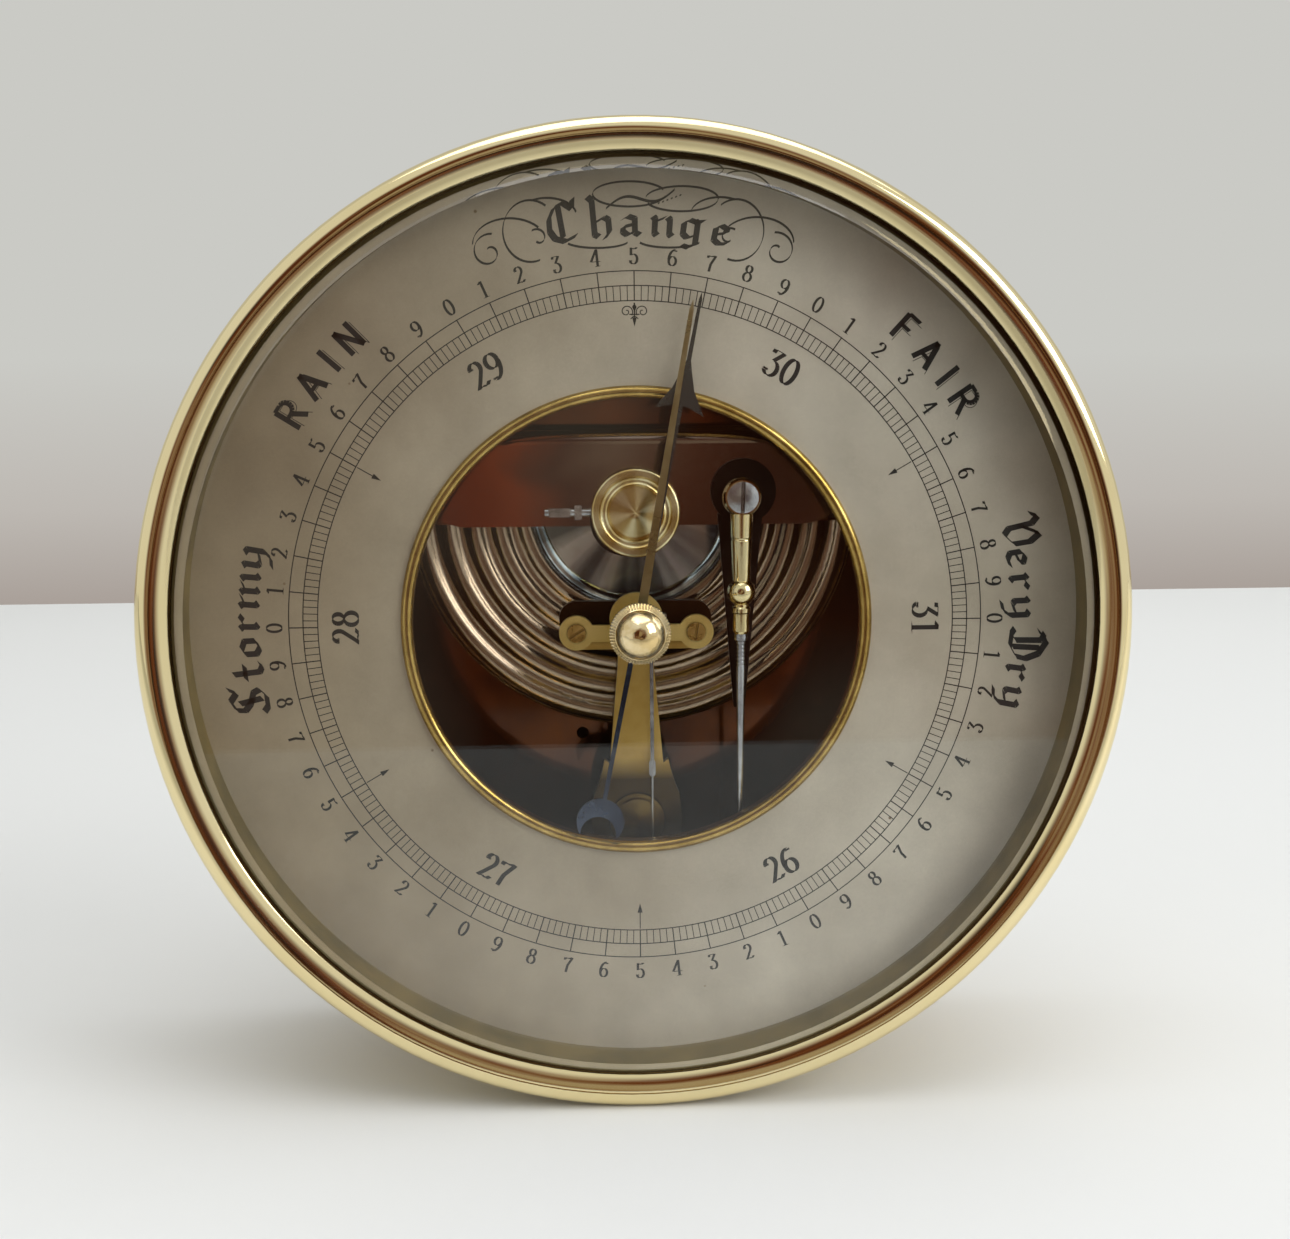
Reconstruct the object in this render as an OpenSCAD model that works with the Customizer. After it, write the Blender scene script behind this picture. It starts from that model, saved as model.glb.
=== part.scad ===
// Desk barometer in a round brass drum, lengths in mm.
// It stands on the floor plane z = 0, centred on the origin, and its dial faces -Y.
// Each piece is drawn in the dial's own frame: x right, y up from the dial's axis,
// and z forward from the dial's face. The module at_dial() turns that frame upright.

/* [Case] */
// outside diameter of the bezel's roll, and of the rear rim
bezel_od = 143; // [136:0.5:150]
// from the dial's face back to the outer face of the case back
case_depth = 38; // [36:0.5:46]
// thickness of the drum's side wall
wall_t = 1.4; // [1:0.1:1.6]
// thickness of the case back
back_t = 1.6; // [1.2:0.1:2.2]
// thickness of the bezel's skirt, which fits round the drum
bezel_t = 1.4; // [1:0.1:1.8]
// radius of the bezel's outer roll, and of the rear rim's
roll_r = 2.2; // [1.9:0.1:2.4]
// how far the bezel's skirt reaches behind the dial's face
skirt_reach = 5; // [2:0.5:12]
// width of the sloping band inside the bezel's roll
band_w = 2.25; // [1.8:0.05:2.6]

/* [Glass] */
// from the dial's face to the back of the glass
glass_gap = 6.4; // [6.2:0.1:8]
// thickness of the glass
glass_t = 4.1; // [3.4:0.1:5]
// width of the 45 degree bevel ground round the glass
glass_bevel = 2.6; // [1:0.1:2.8]

/* [Dial] */
// thickness of the dial plate
dial_t = 1.6; // [1:0.1:2]
// diameter of the opening that shows the movement
opening_d = 67.8; // [60:0.2:76]
// radius of the half-round bead round the opening
bead_r = 0.9; // [0.6:0.05:1.4]

/* [Set knob and hands] */
// diameter of the knob's serrated rim
knob_d = 8.7; // [8:0.1:12]
// height of the knob above the gap over the glass
knob_h = 5.5; // [5:0.1:8]
// number of serrations round the knob
knob_flutes = 60; // [36:4:84]
// diameter of the spindle that carries the set hand
spindle_d = 2.5; // [2:0.1:3]
// length of the set hand from the axis
set_hand_l = 47.2; // [36:0.2:56]
// length of the indicating hand from the axis
hand_l = 48.5; // [44:0.5:56]
// from the axis to the middle of the crescent counterpoise
tail_l = 29.7; // [24:0.1:30]
// diameter of the hand's arbor
arbor_d = 1.6; // [1.2:0.1:1.8]

/* [Capsule and mainspring] */
// outside diameter of the corrugated capsule
capsule_d = 68.6; // [60:0.2:72]
// thickness of the capsule over its ridges
capsule_t = 6.4; // [5.6:0.1:6.4]
// number of ridges on each side of the capsule
ridges = 5; // [3:1:6]
// distance between two ridges
ridge_pitch = 3.95; // [3.4:0.05:4.2]
// height of a ridge over the valley beside it
ridge_h = 0.7; // [0.4:0.05:0.8]
// thickness of the capsule's sheet
sheet_t = 0.3; // [0.2:0.05:0.4]
// width of the mainspring's leaf
leaf_w = 64; // [56:1:70]
// thickness of the mainspring's leaf
leaf_t = 1.3; // [0.9:0.1:1.5]
// diameter of the post between the capsule and the mainspring
post_d = 4; // [3:0.1:4.6]
// diameter of the turned button on the post
button_d = 13.2; // [11:0.1:14]

/* [Lever, chain and rocking shaft] */
// from the dial's axis sideways to the main lever
lever_x = 15.6; // [14.5:0.1:17]
// slope of the main lever towards the back, in degrees
lever_tilt = 3.4; // [3:0.1:4]
// round head of the strap behind the lever
strap_head_d = 9.7; // [8:0.1:11]
// width of the strap where its tail leaves the head
strap_w = 6.7; // [5:0.1:8]
// length of the strap's tail
strap_l = 28; // [20:0.5:32]
// diameter of the ball at the main lever's head
ball_d = 6; // [5.6:0.1:7]
// diameter of the ball knop on the main lever
knop_d = 4.3; // [3.6:0.1:4.4]
// diameter of the steel lever rod at its thick end
rod_d = 1.36; // [1:0.02:1.8]
// radius at which the chain winds on its pulley
pulley_r = 2; // [1.8:0.1:2.2]
// pitch of the chain's links
link_pitch = 1.25; // [1.1:0.05:1.6]
// length of the chain arm on the rocking shaft
chain_arm_l = 12.6; // [12:0.1:13]
// length of the crank arm on the rocking shaft
crank_l = 3; // [2.6:0.1:3.4]
// diameter of the rocking shaft
shaft_d = 2.4; // [2:0.1:2.8]

/* [Movement plates] */
// thickness of the large movement plate
plate_t = 3; // [2:0.1:3.5]
// thickness of the movement arm
arm_t = 1.6; // [1.2:0.1:1.8]
// diameter of the large screw in the arm's foot
foot_screw_d = 8.4; // [7:0.1:9]
// diameter of the round ears on the pivot plate
ear_d = 5.2; // [4.6:0.1:5.4]
// from the axis to the middle of an ear
ear_x = 8.95; // [8.4:0.05:9.6]

/* [Hidden] */
$fn = 96;

// fits: slip is the gap between still parts, run_gap that of a turning part
slip = 0.3;
run_gap = 0.05;

// case, from the outside inwards
case_r = bezel_od / 2;
axis_z = case_r;
drum_ro = case_r - 4.1;
drum_ri = drum_ro - wall_t;
skirt_ri = drum_ro + slip;
glass_r = skirt_ri - slip;
lip_r = case_r - 4.8;
roll_c = case_r - roll_r;
ledge_w = 4.5;
ledge_t = 2.5;
back_r = drum_ri - slip;
back_in = -case_depth + back_t;
back_screw_r = drum_ri - ledge_w / 2;
back_screw_d = 3.4;
back_shank_d = 2;
ring_ro = drum_ri - slip;
ring_t = 0.6;

// glass, and the knob in front of it
glass_front = glass_gap + glass_t;
glass_edge = glass_front - glass_bevel;
roll_h = glass_edge - 0.7;
knob_seat = glass_front + 0.5;
knob_reach = knob_seat + knob_h;
bush_d = spindle_d + 1.8;
set_hand_h = 5;
dial_y = (knob_reach - case_depth) / 2;

// hands
hand_angle = 11.3;
set_angle = 9.9;
hand_h = 2.35;
hand_t = 0.5;

// movement plate, pillars and posts
plate_h = -22;
plate_back = plate_h - plate_t;
plate_r = drum_ri - 1.5;
pillar_r = drum_ri - 12;
pillar_d = 6;
case_screw_d = 5;
case_shank_d = 3;
dial_post_r = drum_ri - 6;
dial_post_d = 5;
dial_screw_d = 4.4;
dial_shank_d = 2.2;

// capsule
capsule_r = capsule_d / 2;
capsule_w = 16.5;
capsule_h = -17.2;
half_t = capsule_t / 2;
quarter = ridge_pitch / 4;
mean_h = half_t - sheet_t / 2 - ridge_h / 2;
wave_r = (quarter * quarter + ridge_h * ridge_h / 4) / ridge_h;
wave_c = wave_r - ridge_h / 2;
last_ridge = capsule_r - wave_r - sheet_t / 2;
first_ridge = last_ridge - ridge_pitch * (ridges - 1);
dome_r = first_ridge - ridge_pitch / 2;
dome_top = half_t - 0.05;
stud_d = 4.8;

// mainspring, bridge, and the post through their open notches
leaf_front = -5.6;
leaf_edge = 13.9;
bend_w = 26;
bend_h = -8.5;
bend_r = bend_h - leaf_front;
bend_ro = abs(bend_r);
leaf_low = bend_h - bend_ro;
corner_leaf = 7;
bridge_t = 2;
bridge_w = 21;
bridge_low = leaf_low - bridge_t;
foot_x = capsule_r + 5.2;
bridge_half = foot_x + 2.5;
foot_w = 20;
foot_d = 6;
bridge_screw_d = 6;
bridge_shank_d = 3;
post_w = 16;
notch_r = post_d / 2 + 1.2;
button_h = -4.2;
button_t = 1.7;
pin_d = 1.3;

// main lever: the strap lies on the leaf, the lathe-turned lever lies on the strap
strap_t = 1;
strap_front = leaf_front + strap_t;
lever_w = 18.2;
lever_h = strap_front + 2.2;
strap_bend_w = 14;
tail_t = strap_t - 0.4;
rod_start = 20.45;
lever_len = 56.3;
lever_screw_d = 4.6;
lever_shank_d = 2;

// rocking shaft below the visible part of the movement; its crank sits outside the right cock
shaft_w = -49;
shaft_h = -19;
shaft_x0 = -4;
shaft_x1 = lever_x - 5;
pivot_d = 1.4;
pivot_l = 2;
hub_r = shaft_d / 2 + 0.9;
cock_t = 1.6;
cock_gap = 0.3;
cock_foot_w = shaft_w + 1.6;
cock_screw_w = shaft_w + 4.8;
crank_pin_d = 1.2;
crank_w = shaft_w - crank_l;
crank_x = lever_x - 2;
crank_t = 0.8;
tip_w = lever_w - lever_len * cos(lever_tilt);
tip_h = lever_h - lever_len * sin(lever_tilt);
link_dw = tip_w - crank_w;
link_dh = tip_h - shaft_h;
link_len = sqrt(link_dw * link_dw + link_dh * link_dh);
link_angle = atan2(link_dh, link_dw);
eye_gap = 0.1;
eye_low = 0.15;
eye_high = 1.15;

// chain, pulley and the movement arm
chain_h = shaft_h + chain_arm_l;
chain_x = pulley_r + 0.3;
hook_w = -22.4;
links = floor((abs(hook_w) - 1) / link_pitch);
chain_top = hook_w + links * link_pitch;
pulley_t = 1.2;
pulley_rim = pulley_r + 0.7;
arm_front = -8.8;
arm_back = arm_front - arm_t;
foot_screw_w = -31.8;
foot_shank_d = 4;
arm_pillar_d = 8;
ear_w = -2;
ear_front = -4.2;
ear_back = -5.2;
ear_screw_d = 2.7;
ear_shank_d = 1.3;
ear_pillar_d = 3.2;
rear_pivot_d = arbor_d - 0.5;
spring_h = -8;
spring_t = 0.6;
coil_r = 1.6;
coil_pitch = 0.45;
coils = 5;
stud_x = coil_r + coils * coil_pitch + 0.46;

// which piece is drawn; "all" draws every piece

// turns the dial's frame upright and puts it at its place
module at_dial() {
    translate([0, dial_y, axis_z]) rotate([90, 0, 0]) children();
}

// a round piece from depth low to depth high
module disc(r, low, high, x = 0, w = 0) {
    translate([x, w, low]) cylinder(r = r, h = high - low);
}

// copies on a circle, at angles clockwise from the top
module around(r, angles) {
    for (a = angles) translate([r * sin(a), r * cos(a), 0]) children();
}

// a screwdriver slot cut down from the depth top
module slot(top, length, width, depth, turn = 0) {
    rotate([0, 0, turn]) translate([-length / 2, -width / 2, top - depth])
        cube([length, width, depth + 1]);
}

// a flat bar with round ends between two points of one plane
module bar(a, b, r) {
    d = [b[0] - a[0], b[1] - a[1]];
    translate(a) circle(r = r);
    translate(b) circle(r = r);
    translate(a) rotate(atan2(d[1], d[0])) translate([0, -r]) square([norm(d), 2 * r]);
}

// extrudes a shape drawn in height and depth along x, about x = 0
module along_x(t) {
    rotate([90, 0, 90]) linear_extrude(t, center = true) children();
}

// case drum: a tube with a rear rim as large as the bezel and a ledge for the back
module case_drum() {
    color([0.72, 0.56, 0.28]) at_dial() difference() {
        rotate_extrude() {
            translate([drum_ri, -case_depth]) square([wall_t, case_depth + glass_gap]);
            translate([drum_ri, -case_depth]) square([roll_c - drum_ri, 2 * roll_r + 0.6]);
            translate([roll_c, -case_depth + roll_r]) circle(r = roll_r);
            translate([drum_ro - 0.2, -case_depth]) square([1.2, 2 * roll_r + 1.8]);
            translate([drum_ri - ledge_w, back_in]) square([ledge_w + 0.5, ledge_t]);
        }
        around(back_screw_r, [30, 150, 270])
            disc(back_shank_d / 2 + run_gap, back_in - 1, back_in + 2);
    }
}

// case back: a disc on the drum's ledge, bored for the screws and the adjusting key
module case_back() {
    color([0.74, 0.58, 0.30]) at_dial() difference() {
        disc(back_r, -case_depth, back_in);
        disc(3.5, -case_depth - 1, back_in + 1, 0, capsule_w);
        around(back_screw_r, [30, 150, 270]) sink(back_screw_d, back_shank_d, run_gap);
        around(pillar_r, [60, 180, 300]) sink(case_screw_d, case_shank_d, run_gap);
    }
}

// the room of a countersunk screw in the case back
module sink(head_d, shank_d, gap) {
    cone = (head_d - shank_d) / 2;
    translate([0, 0, -case_depth]) cylinder(r1 = head_d / 2 + gap, r2 = shank_d / 2 + gap, h = cone);
    disc(shank_d / 2 + gap, -case_depth, back_in + 1);
}

// a countersunk screw, flush with the rear face
module rear_screw(head_d, shank_d, length, turn) {
    cone = (head_d - shank_d) / 2;
    difference() {
        union() {
            translate([0, 0, -case_depth]) cylinder(r1 = head_d / 2, r2 = shank_d / 2, h = cone);
            disc(shank_d / 2, -case_depth, -case_depth + length);
        }
        rotate([0, 0, turn]) translate([-head_d, -0.3, -case_depth - 1]) cube([2 * head_d, 0.6, 1.6]);
    }
}

module back_screws() {
    color([0.80, 0.66, 0.36]) at_dial() around(back_screw_r, [30, 150, 270])
        rear_screw(back_screw_d, back_shank_d, back_t + 1.9, 25);
}

module case_screws() {
    color([0.80, 0.66, 0.36]) at_dial() around(pillar_r, [60, 180, 300])
        rear_screw(case_screw_d, case_shank_d, back_t + 4, 70);
}

// pillars that hold the movement plate on the case back
module movement_pillars() {
    color([0.70, 0.54, 0.26]) at_dial() around(pillar_r, [60, 180, 300]) difference() {
        disc(pillar_d / 2, back_in, plate_back);
        disc(case_shank_d / 2 + run_gap, back_in - 1, back_in + 4.2);
    }
}

module movement_plate() {
    color([0.24, 0.13, 0.08]) at_dial() difference() {
        disc(plate_r, plate_back, plate_h);
        disc(stud_d / 2 + run_gap, plate_back - 1, plate_h + 1, 0, capsule_w);
        disc(1, plate_back - 1, plate_h + 1, -8.2, -20.7);
        around(dial_post_r, [90, 210, 330])
            disc(dial_shank_d / 2 + run_gap, plate_back - 1, plate_h + 1);
    }
}

module dial_posts() {
    color([0.70, 0.54, 0.26]) at_dial() around(dial_post_r, [90, 210, 330]) difference() {
        disc(dial_post_d / 2, plate_h, -dial_t);
        disc(dial_shank_d / 2 + run_gap, plate_h - 1, plate_h + 4.2);
    }
}

module dial_post_screws() {
    color([0.50, 0.50, 0.52]) at_dial() around(dial_post_r, [90, 210, 330]) difference() {
        union() {
            disc(dial_shank_d / 2, plate_back, plate_h + 4);
            disc(dial_screw_d / 2, plate_back - 1.4, plate_back);
        }
        translate([-4, -0.3, plate_back - 2]) cube([8, 0.6, 1.2]);
    }
}

module dial_plate() {
    color([0.80, 0.78, 0.72]) at_dial() difference() {
        disc(ring_ro, -dial_t, 0);
        disc(opening_d / 2, -dial_t - 1, 1);
    }
}

// half-round bead on the dial with a sleeve down through the opening
module aperture_ring() {
    bead_c = opening_d / 2 - 0.2;
    color([0.86, 0.68, 0.32]) at_dial() rotate_extrude() {
        intersection() {
            translate([bead_c, 0]) circle(r = bead_r);
            translate([bead_c - 2 * bead_r, 0]) square([4 * bead_r, bead_r]);
        }
        translate([bead_c - 0.5, -dial_t - 1.6]) square([0.5, dial_t + 1.7]);
    }
}

module spacer_ring() {
    color([0.62, 0.50, 0.28]) at_dial() difference() {
        disc(ring_ro, 0, glass_gap);
        disc(ring_ro - ring_t, -1, glass_gap + 1);
    }
}

// flat glass with a 45 degree bevel, held by its thin edge under the bezel's lip
module glass() {
    color([0.80, 0.90, 0.90, 0.3]) at_dial() difference() {
        union() {
            disc(glass_r, glass_gap, glass_edge);
            translate([0, 0, glass_edge])
                cylinder(r1 = lip_r - 0.1, r2 = lip_r - 0.1 - glass_bevel, h = glass_bevel);
        }
        disc(bush_d / 2 + run_gap, glass_gap - 1, glass_front + 1);
    }
}

// brass bush in the glass that carries the set spindle
module glass_bush() {
    color([0.80, 0.64, 0.32]) at_dial() difference() {
        union() {
            disc(bush_d / 2, glass_gap - 0.5, glass_front + 0.4);
            disc(bush_d / 2 + 1, glass_gap - 0.5, glass_gap);
            disc(bush_d / 2 + 0.9, glass_front, glass_front + 0.4);
        }
        disc(spindle_d / 2 + run_gap, glass_gap - 2, glass_front + 2);
    }
}

// bezel: skirt, outer roll, quirk line and gently hollowed inner band over the glass edge
module bezel() {
    quirk_r = lip_r + band_w;
    rise = 0.85;
    band_ball = 6;
    half = norm([band_w, rise]) / 2;
    sink_r = sqrt(band_ball * band_ball - half * half) / (2 * half);
    band_x = lip_r + band_w / 2 + rise * sink_r;
    band_h = glass_edge + 0.45 + rise / 2 - band_w * sink_r;
    color([0.85, 0.66, 0.30]) at_dial() rotate_extrude() difference() {
        union() {
            translate([skirt_ri, -skirt_reach]) square([bezel_t, roll_h + skirt_reach + 1]);
            translate([skirt_ri, -skirt_reach]) square([bezel_t + 0.35, 1]);
            translate([roll_c, roll_h]) circle(r = roll_r);
            intersection() {
                translate([band_x, band_h]) circle(r = band_ball);
                translate([lip_r, glass_edge]) square([roll_c - lip_r, 3]);
            }
        }
        translate([lip_r - 4, -skirt_reach - 1])
            square([skirt_ri - lip_r + 4, glass_edge + skirt_reach + 1]);
        translate([quirk_r, glass_edge + 0.95]) square([0.2, 3]);
    }
}

// a flat-topped middle raised to a shallow dome that ends at radius r
module dome_section(r, level, rise) {
    ball = (r * r + rise * rise) / (2 * rise);
    intersection() {
        translate([0, level + rise - ball]) circle(r = ball, $fn = 360);
        translate([0, level - 0.5]) square([r, rise + 1]);
    }
}

// section of all that lies under one surface of a diaphragm; inset 0 is its outer surface
module under_surface(inset) {
    side = sheet_t / 2 - inset;
    level = mean_h + side * wave_c / wave_r;
    dome_end = dome_r - quarter + side * quarter / wave_r;
    low = inset > 0 ? -1 : 0;
    translate([0, low]) square([capsule_r - inset, mean_h - wave_c - low]);
    dome_section(dome_end, level, dome_top - inset - level);
    difference() {
        union() {
            square([last_ridge, level]);
            for (i = [0 : ridges - 1]) translate([first_ridge + i * ridge_pitch, mean_h - wave_c])
                circle(r = wave_r + side);
        }
        for (i = [0 : ridges - 1]) translate([dome_r + i * ridge_pitch, mean_h + wave_c])
            circle(r = wave_r - side);
        translate([-wave_r - 1, -1]) square([wave_r + 1, 2 * half_t]);
        translate([0, -2 * half_t]) square([capsule_r + 1, 2 * half_t]);
    }
}

// sheet of one diaphragm: domed middle, ridges and valleys, rolled edge
module diaphragm_section() {
    difference() {
        under_surface(0);
        under_surface(sheet_t);
    }
}

module capsule_front() {
    color([0.60, 0.56, 0.50]) at_dial() translate([0, capsule_w, capsule_h])
        rotate_extrude() diaphragm_section();
}

module capsule_back() {
    color([0.60, 0.56, 0.50]) at_dial() translate([0, capsule_w, capsule_h])
        mirror([0, 0, 1]) rotate_extrude() diaphragm_section();
}

// soldered seam round the two diaphragms
module capsule_rim() {
    color([0.52, 0.50, 0.46]) at_dial() translate([0, capsule_w, capsule_h])
        rotate_extrude() intersection() {
            translate([capsule_r, 0]) circle(r = 0.6);
            translate([capsule_r, -1]) square(2);
        }
}

// stud under the capsule, with its flange on the movement plate
module capsule_stud() {
    color([0.70, 0.54, 0.26]) at_dial() {
        disc(5, plate_h, capsule_h - dome_top, 0, capsule_w);
        disc(stud_d / 2, plate_h - 1.2, plate_h + 0.1, 0, capsule_w);
    }
}

// boss behind the plate in which the adjusting screw turns
module adjuster_boss() {
    color([0.70, 0.54, 0.26]) at_dial() difference() {
        disc(5.5, plate_back - 5.5, plate_back, 0, capsule_w);
        disc(stud_d / 2 + run_gap, plate_back - 6.5, plate_back + 1, 0, capsule_w);
    }
}

module adjusting_screw() {
    color([0.45, 0.46, 0.50]) at_dial() translate([0, capsule_w, 0]) difference() {
        disc(stud_d / 2, plate_back - 7, plate_h - 1.3);
        translate([-4, -0.4, plate_back - 8]) cube([8, 0.8, 2.4]);
    }
}

// corner-rounded outline of a leaf of the mainspring, seen from the front
module leaf_outline(edge, corner) {
    half = leaf_w / 2;
    translate([-half, edge + corner]) square([leaf_w, 30]);
    translate([-half + corner, edge]) square([leaf_w - 2 * corner, 30]);
    for (s = [-1, 1]) translate([s * (half - corner), edge + corner]) circle(r = corner);
}

// broad leaf bent over at its top, with open notches for the post
module mainspring() {
    color([0.30, 0.18, 0.12]) at_dial() difference() {
        union() {
            intersection() {
                translate([-leaf_w / 2, leaf_edge, leaf_front - leaf_t])
                    cube([leaf_w, bend_w - leaf_edge, leaf_t]);
                translate([0, 0, leaf_front - leaf_t - 1]) linear_extrude(leaf_t + 2)
                    leaf_outline(leaf_edge, corner_leaf);
            }
            translate([-leaf_w / 2, leaf_edge + 0.5, leaf_low])
                cube([leaf_w, bend_w - leaf_edge - 0.5, leaf_t]);
            along_x(leaf_w) intersection() {
                translate([bend_w, bend_h]) difference() {
                    circle(r = bend_ro);
                    circle(r = bend_ro - leaf_t);
                }
                translate([bend_w, bend_h - 5]) square([10, 10]);
            }
        }
        disc(post_d / 2 + slip, leaf_low - 1, leaf_front + 1, 0, post_w);
        translate([-post_d / 2 - slip, post_w - 5, leaf_low - 1])
            cube([post_d + 2 * slip, 5, 2 * bend_ro + 2]);
    }
}

// flat bridge over the capsule that carries the mainspring
module spring_bridge() {
    color([0.34, 0.21, 0.13]) at_dial() difference() {
        translate([-bridge_half, leaf_edge, bridge_low])
            cube([2 * bridge_half, bridge_w, bridge_t]);
        disc(notch_r, bridge_low - 1, leaf_low + 1, 0, post_w);
        translate([-notch_r, post_w - 5, bridge_low - 1]) cube([2 * notch_r, 5, bridge_t + 2]);
        for (s = [-1, 1])
            disc(bridge_shank_d / 2 + run_gap, bridge_low - 1, leaf_low + 1, s * foot_x, foot_w);
    }
}

module bridge_posts() {
    color([0.66, 0.50, 0.25]) at_dial() for (s = [-1, 1]) translate([s * foot_x, foot_w, 0])
        difference() {
            disc(foot_d / 2, plate_h, bridge_low);
            disc(bridge_shank_d / 2 + run_gap, bridge_low - 4.2, bridge_low + 1);
        }
}

module bridge_screws() {
    color([0.50, 0.50, 0.52]) at_dial() for (s = [-1, 1]) translate([s * foot_x, foot_w, 0])
        difference() {
            union() {
                disc(bridge_shank_d / 2, bridge_low - 4, leaf_low);
                disc(bridge_screw_d / 2, leaf_low, leaf_low + 1.8);
            }
            slot(leaf_low + 1.8, 8, 0.7, 0.8, 40);
        }
}

// post that the capsule pushes, with its foot on the domed middle
module capsule_post() {
    foot = capsule_h + dome_top;
    color([0.60, 0.60, 0.62]) at_dial() {
        disc(3, foot, foot + 0.8, 0, post_w);
        disc(post_d / 2, foot, button_h, 0, post_w);
    }
}

// dark steel block that lies on the leaf under the button
module post_collar() {
    color([0.14, 0.12, 0.12]) at_dial() difference() {
        disc(5.3, leaf_front, button_h, -1.4, 14.8);
        disc(post_d / 2 + run_gap, leaf_front - 1, button_h + 1, 0, post_w);
        translate([-12, post_w, leaf_front + pin_d / 2]) rotate([0, 90, 0])
            cylinder(r = pin_d / 2 + run_gap, h = 8);
    }
}

// turned brass button: rim, groove and shallow cone
module post_button() {
    rim = button_d / 2;
    color([0.85, 0.68, 0.34]) at_dial() translate([0, post_w, button_h]) rotate_extrude()
        difference() {
            union() {
                square([rim - 0.5, button_t]);
                translate([rim - 0.5, 0.5]) square([0.5, button_t - 1]);
                translate([rim - 0.5, 0.5]) circle(r = 0.5);
                translate([rim - 0.5, button_t - 0.5]) circle(r = 0.5);
            }
            polygon([[0, button_t - 0.1], [4, button_t - 0.75], [4, button_t + 1], [0, button_t + 1]]);
            translate([4.7, button_t + 0.25]) circle(r = 0.75);
            translate([-2, -1]) square([2, 5]);
        }
}

// steel bar that bears on the leaf beside the post, with its collar
module knife_edge() {
    color([0.70, 0.70, 0.72]) at_dial() translate([0, post_w, leaf_front + pin_d / 2])
        rotate([0, -90, 0]) {
            translate([0, 0, 5]) cylinder(r = pin_d / 2, h = 8.4);
            translate([-pin_d / 2, -1.05, 7.9]) cube([pin_d, 2.1, 1.1]);
            translate([-pin_d / 2, -pin_d / 2, 9.6]) cube([pin_d, pin_d, 3.2]);
        }
}

// blackened strap: round head on the leaf, then a tapered tail behind the lever
module lever_strap() {
    color([0.10, 0.09, 0.09]) at_dial() difference() {
        union() {
            disc(strap_head_d / 2, leaf_front, strap_front, lever_x + 0.5, lever_w + 0.7);
            translate([lever_x, strap_bend_w, leaf_front]) rotate([lever_tilt, 0, 0])
                linear_extrude(tail_t)
                    polygon([[-strap_w / 2, 1.6], [strap_w / 2, 1.6], [strap_w / 8, -strap_l],
                        [-strap_w / 8, -strap_l]]);
        }
        disc(lever_shank_d / 2 + run_gap, leaf_front - 1, strap_front + 1, lever_x, lever_w);
    }
}

// frame of the main lever: z runs down the lever from the middle of its head
module on_lever() {
    translate([lever_x, lever_w, lever_h]) rotate([90 + lever_tilt, 0, 0]) children();
}

// brass lever turned from the bar: head, taper, ball knop and ferrule
module main_lever() {
    head = ball_d / 2;
    color([0.83, 0.66, 0.34]) at_dial() difference() {
        union() {
            intersection() {
                translate([lever_x, lever_w, lever_h]) sphere(r = head);
                disc(head + 1, strap_front, lever_h + 1.6, lever_x, lever_w);
            }
            on_lever() rotate_extrude() {
                difference() {
                    polygon([[0, head - 0.8], [1.75, head - 0.8], [1.35, 12.4], [1.1, 13], [0, 13]]);
                    translate([1.85, 6.2]) circle(r = 0.35);
                }
                intersection() {
                    translate([0, 14.2]) circle(r = knop_d / 2);
                    translate([0, 10]) square([5, 9]);
                }
                polygon([[0, 15.5], [1.15, 15.5], [1.2, 16.3], [1.42, 16.6], [1.42, 17.2],
                    [1.25, 17.4], [1.25, rod_start - 0.4], [1.05, rod_start], [0, rod_start]]);
            }
        }
        disc(lever_shank_d / 2 + run_gap, strap_front - 1, lever_h + 3, lever_x, lever_w);
    }
}

module lever_screw() {
    top = lever_h + 1.6;
    color([0.72, 0.72, 0.74]) at_dial() translate([lever_x, lever_w, 0]) difference() {
        union() {
            disc(lever_shank_d / 2, leaf_front, top);
            intersection() {
                translate([0, 0, top - 7]) sphere(r = 8);
                disc(lever_screw_d / 2, top, top + 2);
            }
        }
        slot(top + 1, 8, 0.6, 0.7, 88);
    }
}

// steel rod in the ferrule, with turned rings and a long taper
module lever_rod() {
    r = rod_d / 2;
    color([0.55, 0.55, 0.57]) at_dial() on_lever() rotate_extrude() difference() {
        polygon([[0, rod_start], [1, rod_start], [1, rod_start + 1], [r, rod_start + 1.2],
            [r, rod_start + 5.4], [0.32, lever_len], [0, lever_len]]);
        for (i = [0 : 5]) translate([r + 0.08, rod_start + 1.8 + 0.6 * i]) circle(r = 0.2);
    }
}

// link from the rod's tip back to the crank pin, with a slotted eye
module lever_link() {
    color([0.48, 0.48, 0.50]) at_dial() {
        translate([lever_x, crank_w, shaft_h]) rotate([link_angle, 0, 0]) rotate([-90, 0, 0])
            translate([0, 0, 1.6]) cylinder(r = 0.5, h = link_len - 2.2);
        difference() {
            translate([lever_x, tip_w, tip_h]) sphere(r = 0.85);
            on_lever() translate([0, 0, lever_len - 2]) cylinder(r = 0.37, h = 2);
        }
        translate([lever_x, 0, 0]) along_x(1) difference() {
            bar([crank_w - eye_low, shaft_h], [crank_w + eye_high, shaft_h], 1.6);
            bar([crank_w - eye_low, shaft_h], [crank_w + eye_high, shaft_h],
                crank_pin_d / 2 + eye_gap);
        }
    }
}

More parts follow.
